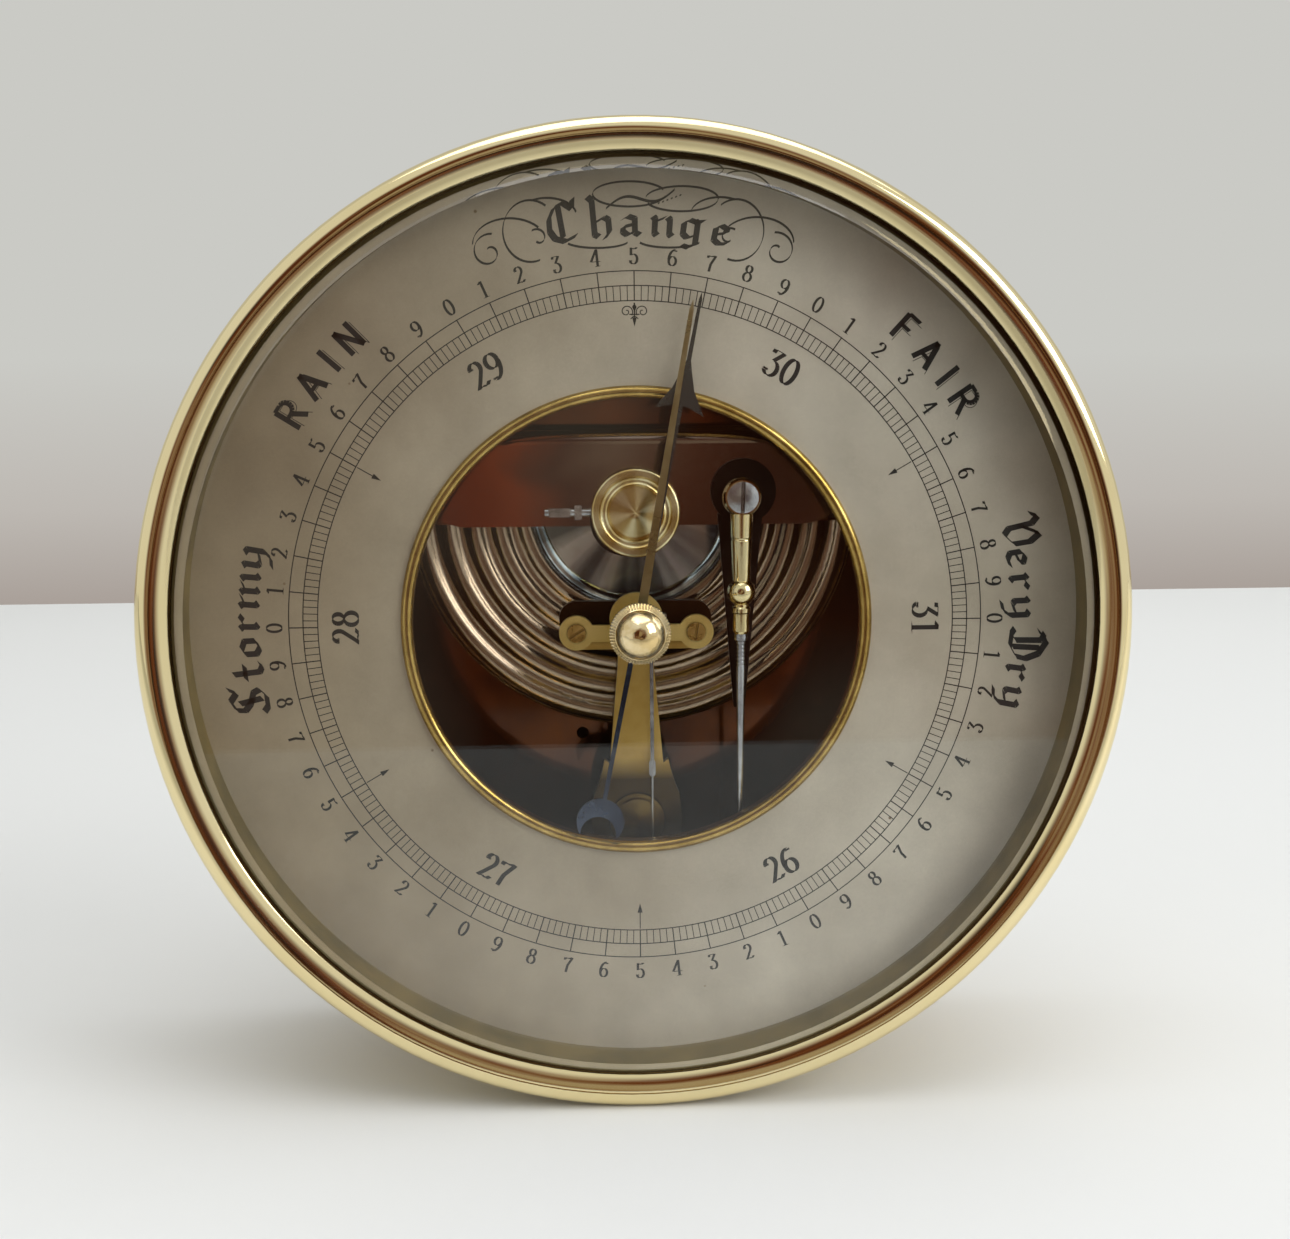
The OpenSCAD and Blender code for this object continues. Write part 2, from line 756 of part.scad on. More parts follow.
// brass arm from the axis down to its foot: shoulders with small notches, flared sides
module movement_arm() {
    color([0.70, 0.56, 0.28]) at_dial() difference() {
        translate([0, 0, arm_back]) linear_extrude(arm_t) {
            bar([-ear_x, ear_w + 1.6], [ear_x, ear_w + 1.6], 2.6);
            bar([-ear_x, ear_w - 0.6], [ear_x, ear_w - 0.6], 2.6);
            polygon([[-2.5, 0], [2.5, 0], [2.75, -7.9], [4.1, -22.9], [4.9, -22.4], [5.3, -24.2],
                [5.9, -26.2], [6.6, -28], [7, -31.8], [-7, -31.8], [-6.6, -28], [-5.9, -26.2],
                [-5.3, -24.2], [-4.9, -22.4], [-4.1, -22.9], [-2.75, -7.9]]);
            translate([0, foot_screw_w]) circle(r = 7);
        }
        disc(rear_pivot_d / 2 + run_gap, arm_back - 1, arm_front + 1);
        disc(foot_shank_d / 2 + run_gap, arm_back - 1, arm_front + 1, 0, foot_screw_w);
        for (s = [-1, 1])
            disc(ear_shank_d / 2 + run_gap, arm_back - 1, arm_front + 1, s * ear_x, ear_w);
        disc(0.45, arm_back - 1, arm_front + 1, stud_x, 0);
    }
}

module foot_screw() {
    color([0.62, 0.48, 0.24]) at_dial() translate([0, foot_screw_w, 0]) difference() {
        union() {
            disc(foot_shank_d / 2, arm_back - 5, arm_front);
            disc(foot_screw_d / 2, arm_front, arm_front + 0.7);
            disc(foot_screw_d / 2 - 0.7, arm_front + 0.6, arm_front + 1.4);
        }
        slot(arm_front + 1.4, 12, 0.7, 0.6, -35);
    }
}

module arm_pillar() {
    color([0.66, 0.50, 0.25]) at_dial() translate([0, foot_screw_w, 0]) difference() {
        disc(arm_pillar_d / 2, plate_h, arm_back);
        disc(foot_shank_d / 2 + run_gap, arm_back - 5.2, arm_back + 1);
    }
}

module plate_pillars() {
    color([0.70, 0.54, 0.28]) at_dial() for (s = [-1, 1]) translate([s * ear_x, ear_w, 0])
        difference() {
            disc(ear_pillar_d / 2, arm_front, ear_back);
            disc(ear_shank_d / 2 + run_gap, arm_front - 1, ear_back + 1);
        }
}

// front plate of the movement: a boss and two necks that end in round ears
module pivot_plate() {
    color([0.82, 0.66, 0.34]) at_dial() difference() {
        translate([0, 0, ear_back]) linear_extrude(ear_front - ear_back) {
            circle(r = 4);
            translate([-ear_x, ear_w - 1.35]) square([2 * ear_x, 2.5]);
            for (s = [-1, 1]) translate([s * ear_x, ear_w]) circle(r = ear_d / 2);
        }
        disc(arbor_d / 2 + run_gap, ear_back - 1, ear_front + 1);
        for (s = [-1, 1])
            disc(ear_shank_d / 2 + run_gap, ear_back - 1, ear_front + 1, s * ear_x, ear_w);
    }
}

module pivot_plate_screws() {
    color([0.78, 0.60, 0.32]) at_dial() for (s = [-1, 1]) translate([s * ear_x, ear_w, 0])
        difference() {
            union() {
                disc(ear_shank_d / 2, arm_front - 1.2, ear_front);
                disc(ear_screw_d / 2, ear_front, ear_front + 0.6);
            }
            slot(ear_front + 0.6, 4, 0.4, 0.35, s < 0 ? 32 : 80);
        }
}

// arbor of the indicating hand, with a thinner rear pivot
module hand_arbor() {
    color([0.55, 0.55, 0.58]) at_dial() {
        disc(rear_pivot_d / 2, arm_back + 0.1, arm_front + 0.2);
        disc(arbor_d / 2, arm_front + 0.1, hand_h + 1);
    }
}

module chain_pulley() {
    low = chain_h - pulley_t / 2;
    color([0.78, 0.62, 0.32]) at_dial() difference() {
        union() {
            disc(pulley_r - run_gap, low, low + pulley_t);
            disc(pulley_rim, low, low + 0.25);
            disc(pulley_rim, low + pulley_t - 0.25, low + pulley_t);
        }
        disc(arbor_d / 2, low - 1, low + pulley_t + 1);
    }
}

module hand_collet() {
    color([0.78, 0.62, 0.32]) at_dial() difference() {
        union() {
            disc(1.7, 0.8, hand_h);
            disc(2.2, hand_h - 0.5, hand_h);
        }
        disc(arbor_d / 2, 0, hand_h + 1);
    }
}

// blued hand: arrow head under a long fine tip, and a crescent counterpoise
module indicating_hand() {
    arrow = 39.95;
    color([0.10, 0.11, 0.20]) at_dial() rotate([0, 0, -hand_angle])
        translate([0, 0, hand_h]) linear_extrude(hand_t) difference() {
            union() {
                circle(r = 2.4);
                polygon([[-0.55, 0], [-0.4, 32], [-0.3, arrow], [-0.22, hand_l - 1], [0, hand_l],
                    [0.22, hand_l - 1], [0.3, arrow], [0.4, 32], [0.55, 0]]);
                polygon([[0, arrow], [0.75, 37.2], [1.6, 34.6], [3.6, 31.3], [1.5, 32.1],
                    [0, 32.4], [-1.5, 32.1], [-3.6, 31.3], [-1.6, 34.6], [-0.75, 37.2]]);
                polygon([[-0.4, 0], [0.4, 0], [0.3, 3.2 - tail_l], [-0.3, 3.2 - tail_l]]);
                difference() {
                    translate([0, -tail_l]) circle(r = 3.5);
                    translate([0, -tail_l - 1.9]) circle(r = 2.66);
                }
            }
            circle(r = arbor_d / 2);
        }
}

// flat spiral of half rings about two centres
module hairspring() {
    step = coil_pitch / 2;
    w = 0.12;
    color([0.35, 0.36, 0.42]) at_dial() translate([0, 0, spring_h]) linear_extrude(spring_t)
        for (i = [0 : coils - 1]) {
            half_ring(coil_r + i * coil_pitch, w, 0, 1);
            half_ring(coil_r + step + i * coil_pitch, w, step, -1);
        }
}

module half_ring(r, w, x, side) {
    translate([x, 0]) intersection() {
        difference() {
            circle(r = r + w / 2);
            circle(r = r - w / 2);
        }
        translate([-r - 1, side > 0 ? 0 : -r - 1]) square([2 * r + 2, r + 1]);
    }
}

module hairspring_collet() {
    color([0.78, 0.62, 0.32]) at_dial() difference() {
        disc(coil_r - 0.06, spring_h - 0.1, spring_h + spring_t + 0.1);
        disc(arbor_d / 2, spring_h - 1, spring_h + spring_t + 1);
    }
}

module hairspring_stud() {
    color([0.70, 0.70, 0.72]) at_dial()
        disc(0.4, arm_back + 0.2, spring_h + spring_t + 0.2, stud_x, 0);
}

// one flat plate of a chain link, from w upwards
module link_plate(w, low, high) {
    translate([chain_x, 0, low]) linear_extrude(high - low)
        bar([0, w], [0, w + link_pitch], 0.28);
}

// chain of single and double links on common pins
module chain() {
    color([0.62, 0.60, 0.56]) at_dial() {
        for (i = [0 : links - 1]) {
            w = hook_w + i * link_pitch;
            if (i % 2 == 0) link_plate(w, chain_h - 0.09, chain_h + 0.09);
            if (i % 2 == 1) link_plate(w, chain_h + 0.09, chain_h + 0.23);
            if (i % 2 == 1) link_plate(w, chain_h - 0.23, chain_h - 0.09);
        }
        for (i = [0 : links])
            disc(0.15, chain_h - 0.28, chain_h + 0.28, chain_x, hook_w + i * link_pitch);
    }
}

// hook plate on the chain's last pin, with a wire down to the chain arm
module chain_hook() {
    end_w = shaft_w;
    color([0.72, 0.72, 0.72]) at_dial() {
        for (s = [-1, 1]) translate([chain_x, 0, chain_h + s * 0.16 - 0.07]) linear_extrude(0.14)
            difference() {
                bar([0, hook_w - 1.6], [0, hook_w], 0.5);
                translate([0, hook_w]) circle(r = 0.17);
            }
        disc(0.5, chain_h - 0.23, chain_h + 0.23, chain_x, hook_w - 1.6);
        translate([chain_x, end_w + 0.75, chain_h]) rotate([-90, 0, 0])
            cylinder(r = 0.2, h = hook_w - 1.9 - end_w - 0.75);
        translate([chain_x, 0, 0]) along_x(0.3) difference() {
            translate([end_w, chain_h]) circle(r = 0.85);
            translate([end_w, chain_h]) circle(r = 0.5);
        }
    }
}

// rocking shaft with a pivot at each end
module rocking_shaft() {
    color([0.50, 0.50, 0.53]) at_dial() translate([0, shaft_w, shaft_h]) rotate([0, 90, 0]) {
        translate([0, 0, shaft_x0]) cylinder(r = shaft_d / 2, h = shaft_x1 - shaft_x0);
        translate([0, 0, shaft_x0 - pivot_l])
            cylinder(r = pivot_d / 2, h = crank_x + crank_t / 2 - shaft_x0 + pivot_l);
    }
}

// forward arm that pulls the chain; its fork holds a pin for the hook's eye
module chain_arm() {
    color([0.76, 0.60, 0.30]) at_dial() {
        for (s = [-1, 1]) translate([chain_x + s * 0.55, 0, 0]) along_x(0.6) difference() {
            union() {
                translate([shaft_w, shaft_h]) circle(r = hub_r);
                polygon([[shaft_w - 1.5, shaft_h], [shaft_w + 1.5, shaft_h],
                    [shaft_w + 0.7, chain_h], [shaft_w - 0.7, chain_h]]);
                translate([shaft_w, chain_h]) circle(r = 0.8);
            }
            translate([shaft_w, shaft_h]) circle(r = shaft_d / 2);
        }
        translate([chain_x - 0.85, shaft_w, chain_h]) rotate([0, 90, 0])
            cylinder(r = 0.35, h = 1.7);
        translate([chain_x, 0, 0]) along_x(0.6) difference() {
            translate([shaft_w, shaft_h]) circle(r = hub_r);
            translate([shaft_w, shaft_h]) circle(r = shaft_d / 2);
        }
    }
}

// short arm below the shaft, with the pin that the link's eye holds
module crank_arm() {
    color([0.76, 0.60, 0.30]) at_dial() {
        translate([crank_x, 0, 0]) along_x(crank_t) difference() {
            union() {
                translate([shaft_w, shaft_h]) circle(r = hub_r);
                bar([crank_w, shaft_h], [shaft_w, shaft_h], 1);
            }
            translate([shaft_w, shaft_h]) circle(r = pivot_d / 2);
        }
        translate([crank_x, crank_w, shaft_h]) rotate([0, 90, 0])
            cylinder(r = crank_pin_d / 2, h = lever_x + 0.9 - crank_x);
    }
}

// middle of a cock, beside the left (-1) or right (1) end of the rocking shaft
function cock_x(side) = (side < 0 ? shaft_x0 : shaft_x1) + side * (cock_gap + cock_t / 2);

// two cocks on the plate that hold the rocking shaft's pivots
module rocker_cocks() {
    color([0.70, 0.54, 0.28]) at_dial() for (s = [-1, 1]) {
        translate([cock_x(s), 0, 0]) along_x(cock_t) difference() {
            union() {
                translate([shaft_w - 2.2, plate_h]) square([4.4, shaft_h - plate_h]);
                translate([shaft_w, shaft_h]) circle(r = 2.2);
            }
            translate([shaft_w, shaft_h]) circle(r = pivot_d / 2 + run_gap);
            translate([shaft_w - 5, plate_h - 5]) square([10, 5]);
        }
        difference() {
            translate([cock_x(s) - 2.2, cock_foot_w, plate_h]) cube([4.4, 5.6, 0.8]);
            disc(0.85, plate_h - 1, plate_h + 2, cock_x(s), cock_screw_w);
        }
    }
}

module cock_screws() {
    color([0.50, 0.50, 0.52]) at_dial() for (s = [-1, 1])
        translate([cock_x(s), cock_screw_w, 0]) difference() {
            union() {
                disc(0.8, plate_h, plate_h + 0.8);
                disc(1.5, plate_h + 0.8, plate_h + 1.8);
            }
            slot(plate_h + 1.8, 6, 0.4, 0.5, 20);
        }
}

// domed knob on a narrow neck over the glass, its rim and its bevel cut into fine teeth
module set_knob() {
    rim = knob_d / 2;
    bevel = 0.85;
    dome = rim - bevel - 0.1;
    rim_low = knob_seat + 0.8;
    dome_t = 2.6;
    rim_high = knob_seat + knob_h - dome_t;
    ball = (dome * dome + dome_t * dome_t) / (2 * dome_t);
    flute_r = 0.15;
    color([0.86, 0.70, 0.38]) at_dial() difference() {
        union() {
            disc(rim - 1.2, knob_seat, rim_low + 0.2);
            disc(rim, rim_low, rim_high - bevel);
            translate([0, 0, rim_high - bevel]) cylinder(r1 = rim, r2 = rim - bevel, h = bevel);
            intersection() {
                translate([0, 0, knob_reach - ball]) sphere(r = ball);
                disc(dome + 1, rim_high, knob_reach + 1);
            }
        }
        disc(spindle_d / 2, knob_seat - 1, rim_high - 0.8);
        for (i = [0 : knob_flutes - 1]) rotate([0, 0, i * 360 / knob_flutes]) {
            translate([rim, 0, rim_low - 1]) cylinder(r = flute_r, h = knob_h, $fn = 16);
            translate([rim, 0, rim_high - bevel]) rotate([0, -45, 0]) translate([0, 0, -1])
                cylinder(r = flute_r, h = 1 + sqrt(2) * bevel - 0.12, $fn = 16);
        }
    }
}

module set_spindle() {
    color([0.70, 0.56, 0.30]) at_dial() {
        disc(spindle_d / 2, set_hand_h + 0.25, knob_seat + knob_h - 3.4);
        disc(0.8, set_hand_h - 0.5, set_hand_h + 0.3);
    }
}

// plain brass pointer with a round boss
module set_hand() {
    color([0.72, 0.60, 0.34]) at_dial() rotate([0, 0, -set_angle])
        translate([0, 0, set_hand_h - 0.15]) difference() {
            union() {
                linear_extrude(0.3) polygon([[-0.7, 0], [-0.32, set_hand_l - 1.5],
                    [0, set_hand_l], [0.32, set_hand_l - 1.5], [0.7, 0]]);
                translate([0, 0, -0.2]) cylinder(r = 1.7, h = 0.6);
            }
            translate([0, 0, -1]) cylinder(r = 0.8, h = 3);
        }
}

case_drum();
case_back();
back_screws();
case_screws();
movement_pillars();
movement_plate();
dial_posts();
dial_post_screws();
dial_plate();
aperture_ring();
spacer_ring();
glass();
glass_bush();
bezel();
capsule_front();
capsule_back();
capsule_rim();
capsule_stud();
adjuster_boss();
adjusting_screw();
mainspring();
spring_bridge();
bridge_posts();
bridge_screws();
capsule_post();
post_collar();
post_button();
knife_edge();
lever_strap();
main_lever();
lever_screw();
lever_rod();
lever_link();
movement_arm();
foot_screw();
arm_pillar();
plate_pillars();
pivot_plate();
pivot_plate_screws();
hand_arbor();
chain_pulley();
hand_collet();
indicating_hand();
hairspring();
hairspring_collet();
hairspring_stud();
chain();
chain_hook();
rocking_shaft();
chain_arm();
crank_arm();
rocker_cocks();
cock_screws();
set_knob();
set_spindle();
set_hand();
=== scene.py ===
# %% [markdown]
# A desk barometer in a round brass drum, dressed for looks.
# The solids come packed from the construction model and are never moved or reshaped here.
# This script gives each of them the finish of its real material, engraves the dial,
# and sets up the desk, the light and the camera. All lengths in the scene are metres,
# and the sizes of details are written in millimetres and turned to metres by MM.

import math

import bmesh
import bpy
from mathutils import Matrix, Vector


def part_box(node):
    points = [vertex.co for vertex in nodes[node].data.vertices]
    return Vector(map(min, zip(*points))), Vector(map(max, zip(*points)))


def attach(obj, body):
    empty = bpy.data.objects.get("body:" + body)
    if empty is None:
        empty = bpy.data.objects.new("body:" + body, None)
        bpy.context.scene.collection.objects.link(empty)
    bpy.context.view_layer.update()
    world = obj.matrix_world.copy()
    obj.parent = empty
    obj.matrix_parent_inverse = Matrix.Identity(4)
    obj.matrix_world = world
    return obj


MM = 0.001

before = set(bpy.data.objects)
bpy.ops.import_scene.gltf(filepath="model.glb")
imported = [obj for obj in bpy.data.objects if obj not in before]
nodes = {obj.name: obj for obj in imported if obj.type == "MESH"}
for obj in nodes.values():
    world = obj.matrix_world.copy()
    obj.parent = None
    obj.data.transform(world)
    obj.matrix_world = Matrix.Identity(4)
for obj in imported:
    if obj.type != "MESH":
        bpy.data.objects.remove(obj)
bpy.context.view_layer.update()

# %% [markdown]
# The dial is where everything is measured from. Its face looks towards -Y, and a point on
# it is given as x to the right, w upwards from the axis and h forward from the face. Both
# the face and the axis come from the dial plate's own box, so nothing is typed twice.

# %% The dial's own coordinates
dial_low, dial_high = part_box("dial_plate")
DIAL_Y = dial_low.y
AXIS_Z = (dial_low.z + dial_high.z) / 2


def dial_point(x, w, h):
    """The place in the frame of x right, w up and h forward of the dial's centre, in mm."""
    return Vector((x * MM, DIAL_Y - h * MM, AXIS_Z + w * MM))


print("dial face at y =", round(DIAL_Y, 5), "axis at z =", round(AXIS_Z, 5))

# %% [markdown]
# A shader tree is easier to read when each node is one call that states its settings and
# what feeds it. This one helper serves every material: a name in settings is either an
# input socket or a property of the node, a name in links is an input socket, fed by another
# socket or by a node's first output, and stops are the places and colours of a ramp.

# %% One helper for colours, one for nodes, one for pattern scales
def tone(code):
    """An sRGB hex colour as linear light, which is what shaders take."""
    parts = [int(code[i:i + 2], 16) / 255 for i in (1, 3, 5)]
    return [p / 12.92 if p <= 0.04045 else ((p + 0.055) / 1.055) ** 2.4 for p in parts] + [1.0]


def add(tree, kind, settings=None, links=None, stops=()):
    """Adds a node with its settings, its links and a ramp's stops, and returns it."""
    node = tree.nodes.new("ShaderNode" + kind)
    for name, value in (settings or {}).items():
        if isinstance(name, int) or name in node.inputs:
            node.inputs[name].default_value = value
        else:
            setattr(node, name, value)
    for name, source in (links or {}).items():
        tree.links.new(getattr(source, "outputs", [source])[0], node.inputs[name])
    for i, (position, code) in enumerate(stops):
        ramp = node.color_ramp.elements
        stop = ramp[i] if i < len(ramp) else ramp.new(position)
        stop.position, stop.color = position, tone(code)
    return node


def per_mm(size):
    """The texture scale at which a pattern repeats about every size mm."""
    return 1 / (size * MM)


def new_material(name):
    """An empty material, and its tree."""
    material = bpy.data.materials.new(name)
    material.use_nodes = True
    material.node_tree.nodes.clear()
    return material, material.node_tree


def close_material(material, tree, shader):
    """Links the last shader to the output."""
    add(tree, "OutputMaterial", {}, {"Surface": shader})
    print("material", material.name, "with", len(tree.nodes), "nodes")
    return material


# %% [markdown]
# All metals of this instrument share one build-up: a colour that drifts softly between two
# tones, as lacquer ages unevenly, a roughness that drifts with it, and fine marks in the
# bump. What differs is the marks: a stone leaves straight grain, and a buffing wheel leaves
# hairlines in all directions. The stretch of the noise says which.

# %% Metals
MARK_DEPTH = 0.02 * MM


def metal(name, tones, patch, rough, grain, stretch, bump, coat=0.0, shaded=(), grime_and_shade=0.0,
          metallic=1.0):
    """A metal with two tones in patches of patch mm, a grain of grain mm stretched along an axis.

    shaded lists tones, each with two heights in mm over the axis, between which it takes over,
    and serves for painted shade and painted reflections by height. The argument after shaded is
    how far in mm the old polish that stays in corners and slots reaches, with the painted shade
    there, and a metallic under 1 stands for the skin of oxide on metal that is never polished.
    """
    material, tree = new_material(name)
    place = add(tree, "TexCoord").outputs["Object"]
    drift = add(tree, "TexNoise", {"Scale": per_mm(patch), "Detail": 4.0, "Roughness": 0.55},
                {"Vector": place})
    colour = add(tree, "ValToRGB", {}, {"Fac": drift}, ((0.36, tones[0]), (0.66, tones[1])))
    seen = colour
    for shade, begin, end in shaded:
        level = add(tree, "SeparateXYZ", {}, {0: place})
        over = add(tree, "MapRange",
                   {"From Min": AXIS_Z + begin * MM, "From Max": AXIS_Z + end * MM},
                   {"Value": level.outputs["Z"]})
        seen = add(tree, "Mix", {"data_type": "RGBA", 7: tone(shade)},
                   {0: over, 6: seen}).outputs[2]
    # Old polish in corners and slots, with painted shade there: ambient occlusion darkens them.
    if grime_and_shade:
        corner = add(tree, "AmbientOcclusion", {"samples": 6, "Distance": grime_and_shade * MM})
        corner_level = add(tree, "MapRange", {"From Min": 0.45, "From Max": 0.85, "To Min": 0.10},
                    {"Value": corner.outputs["AO"]})
        seen = add(tree, "Mix", {"data_type": "RGBA", "blend_type": "MULTIPLY", 0: 1.0},
                   {6: seen, 7: corner_level}).outputs[2]
    polish = add(tree, "MapRange", {"To Min": rough[0], "To Max": rough[1]}, {"Value": drift})
    along = add(tree, "Mapping", {"Scale": stretch}, {"Vector": place})
    marks = add(tree, "TexNoise", {"Scale": per_mm(grain), "Detail": 3.0}, {"Vector": along})
    relief = add(tree, "Bump", {"Strength": min(1, bump), "Distance": MARK_DEPTH * max(1, bump)},
                 {"Height": marks})
    shader = add(tree, "BsdfPrincipled",
                 {"Metallic": metallic, "Coat Weight": coat, "Coat Roughness": 0.05},
                 {"Base Color": seen, "Roughness": polish, "Normal": relief})
    return close_material(material, tree, shader)


ISOTROPIC = (1, 1, 1)
ALONG_X = (0.08, 1, 1)
ALONG_Z = (1, 1, 0.08)

# %% [markdown]
# Polished brass under clear lacquer: buffed until the lathe marks are gone, so it mirrors
# the room in sharp bands, and the lacquer gives it a second, colourless gloss. The case is
# the same metal left a little duller, and the movement's brass is stoned to a straight
# grain before it is lacquered. Real hairlines are about 0.02 mm wide and wouldn't show, so
# they are drawn ten times coarser or more.

# %% Brass finishes
brass_polished = metal("polished lacquered brass", ("#E6D39B", "#F0E0B0"), 14, (0.05, 0.10), 0.5,
                       ISOTROPIC, 0.02, coat=0.25)
brass_handled = metal("polished brass worn by fingers", ("#D9BF88", "#F0DDB2"), 2.4, (0.07, 0.20),
                      1.5, ISOTROPIC, 5, grime_and_shade=0.55)
brass_case = metal("satin lacquered brass", ("#C9AE74", "#DCC48E"), 18, (0.20, 0.32), 0.35,
                   ALONG_X, 0.12, coat=0.15)
brass_grained = metal("grained lacquered brass", ("#D6B866", "#E8CE84"), 6, (0.30, 0.42), 0.22,
                      ALONG_Z, 0.10, coat=0.2, grime_and_shade=0.5)
# Painted shade at both ends of the arm: at its head under the pivot plate, and at its foot, which
# mirrors the dim room.
brass_arm = metal("grained brass with painted shade at both ends", ("#C8A558", "#DCBC70"), 6, (0.28, 0.40),
                  0.22, ALONG_Z, 0.10, coat=0.2, grime_and_shade=0.5,
                  shaded=[("#2E1E10", -4.5, -3.0), ("#4A3A20", -22, -25.5)])
brass_bead = metal("brass bead browned by age", ("#A88A48", "#CBAE68"), 5, (0.14, 0.26), 0.3,
                   ISOTROPIC, 0.06)
# Olive old brass, made darker still by painted shade, as it lies in the well under the glass.
brass_olive = metal("old olive brass darkened by painted shade", ("#6A5E3A", "#86764C"), 8, (0.42, 0.56), 0.4,
                    ISOTROPIC, 0.06, metallic=0.45)
brass_screw = metal("fine turned brass screw", ("#BC9852", "#DCBA74"), 1.5, (0.22, 0.34), 0.2,
                    ISOTROPIC, 0.08, grime_and_shade=0.3)
brass_dull = metal("unlacquered brass gone dull", ("#9C8C62", "#B5A67E"), 4, (0.22, 0.36), 0.3,
                   ALONG_Z, 0.08)
brass_dark = metal("brass under dark bronze lacquer", ("#34180C", "#8E5226"), 26, (0.07, 0.16), 0.9,
                   ALONG_X, 0.03, coat=0.5)

# %% [markdown]
# The capsule is thin tinned sheet, which gives a soft, slightly wavy shine. The lever's rod,
# the pins and the screws are turned steel, bright, with slots darkened by old polish and
# painted shade. The strap and the collar are near black, and the hand is blued by heat: an
# oxide less than a tenth of a thousandth of a millimetre thick, whose colour is a metal's,
# with a painted grey reflection towards the point.

# %% Steel, tin and blued steel
tin_sheet = metal("tinned sheet", ("#9A8976", "#BFAE98"), 9, (0.16, 0.26), 1.2,
                  ISOTROPIC, 0.03)
steel_turned = metal("turned steel", ("#A4A6AC", "#CDD0D4"), 3, (0.16, 0.30), 0.2,
                     ALONG_X, 0.10, grime_and_shade=0.5)
steel_black = metal("near-black steel", ("#141212", "#221E1C"), 5, (0.28, 0.42), 0.3,
                    ISOTROPIC, 0.10)
# The grey tone towards the hand's point is a painted reflection.
steel_blued = metal("heat blued steel", ("#384054", "#5A667C"), 6, (0.22, 0.32), 0.3,
                    ALONG_Z, 0.08, shaded=[("#5E6264", 8, 26)])

# %% [markdown]
# The mainspring is one broad leaf of hardened steel, polished and lacquered. Its colour is
# the lacquer's brown with a painted reflection in it: reddish orange at the left end, greyer
# to the right. A ramp along X, roughened by a noise so that no edge shows, gives it that
# drift. Under the lacquer it is a mirror, so the colour is a metal's.

# %% The mainspring's lacquer and painted reflection
LEAF_HALF = 32
SWAY = 12


def browned_leaf():
    material, tree = new_material("tempered steel under lacquer with a painted reflection")
    place = add(tree, "TexCoord").outputs["Object"]
    across = add(tree, "SeparateXYZ", {}, {0: place})
    drift = add(tree, "TexNoise", {"Scale": per_mm(16), "Detail": 3.0, "Distortion": 0.6},
                {"Vector": place})
    sway = add(tree, "MapRange", {"To Min": -SWAY * MM, "To Max": SWAY * MM}, {"Value": drift})
    along = add(tree, "Math", {"operation": "ADD"}, {0: across.outputs["X"], 1: sway})
    ramp_at = add(tree, "MapRange", {"From Min": -LEAF_HALF * MM, "From Max": LEAF_HALF * MM},
                  {"Value": along})
    # The reddish orange at the left end of this ramp is a painted reflection.
    colour = add(tree, "ValToRGB", {}, {"Fac": ramp_at},
                 ((0.0, "#7A3014"), (0.22, "#A04A1C"), (0.36, "#5C3020"), (0.5, "#8E7E74"),
                  (1.0, "#84746C")))
    marks = add(tree, "TexNoise", {"Scale": per_mm(0.9), "Detail": 2.0}, {"Vector": place})
    polish = add(tree, "MapRange", {"To Min": 0.07, "To Max": 0.16}, {"Value": marks})
    shader = add(tree, "BsdfPrincipled",
                 {"Metallic": 1.0, "Coat Weight": 0.6, "Coat Roughness": 0.05},
                 {"Base Color": colour, "Roughness": polish})
    return close_material(material, tree, shader)


spring_steel = browned_leaf()

# %% [markdown]
# The capsule's front was spun over a former. The ridges are brownish, part tarnish and part
# painted reflection of the brown room, and the smooth middle is cool and pale, a painted
# reflection of the window. A mask by the distance from the capsule's axis parts the two. The
# painted reflection falls in streaks of light and dark, so its noise is read by direction
# alone, and its scale has no millimetres.

# %% The capsule's front
SMOOTH_MIDDLE = 15.5
SOFT_EDGE = 0.6


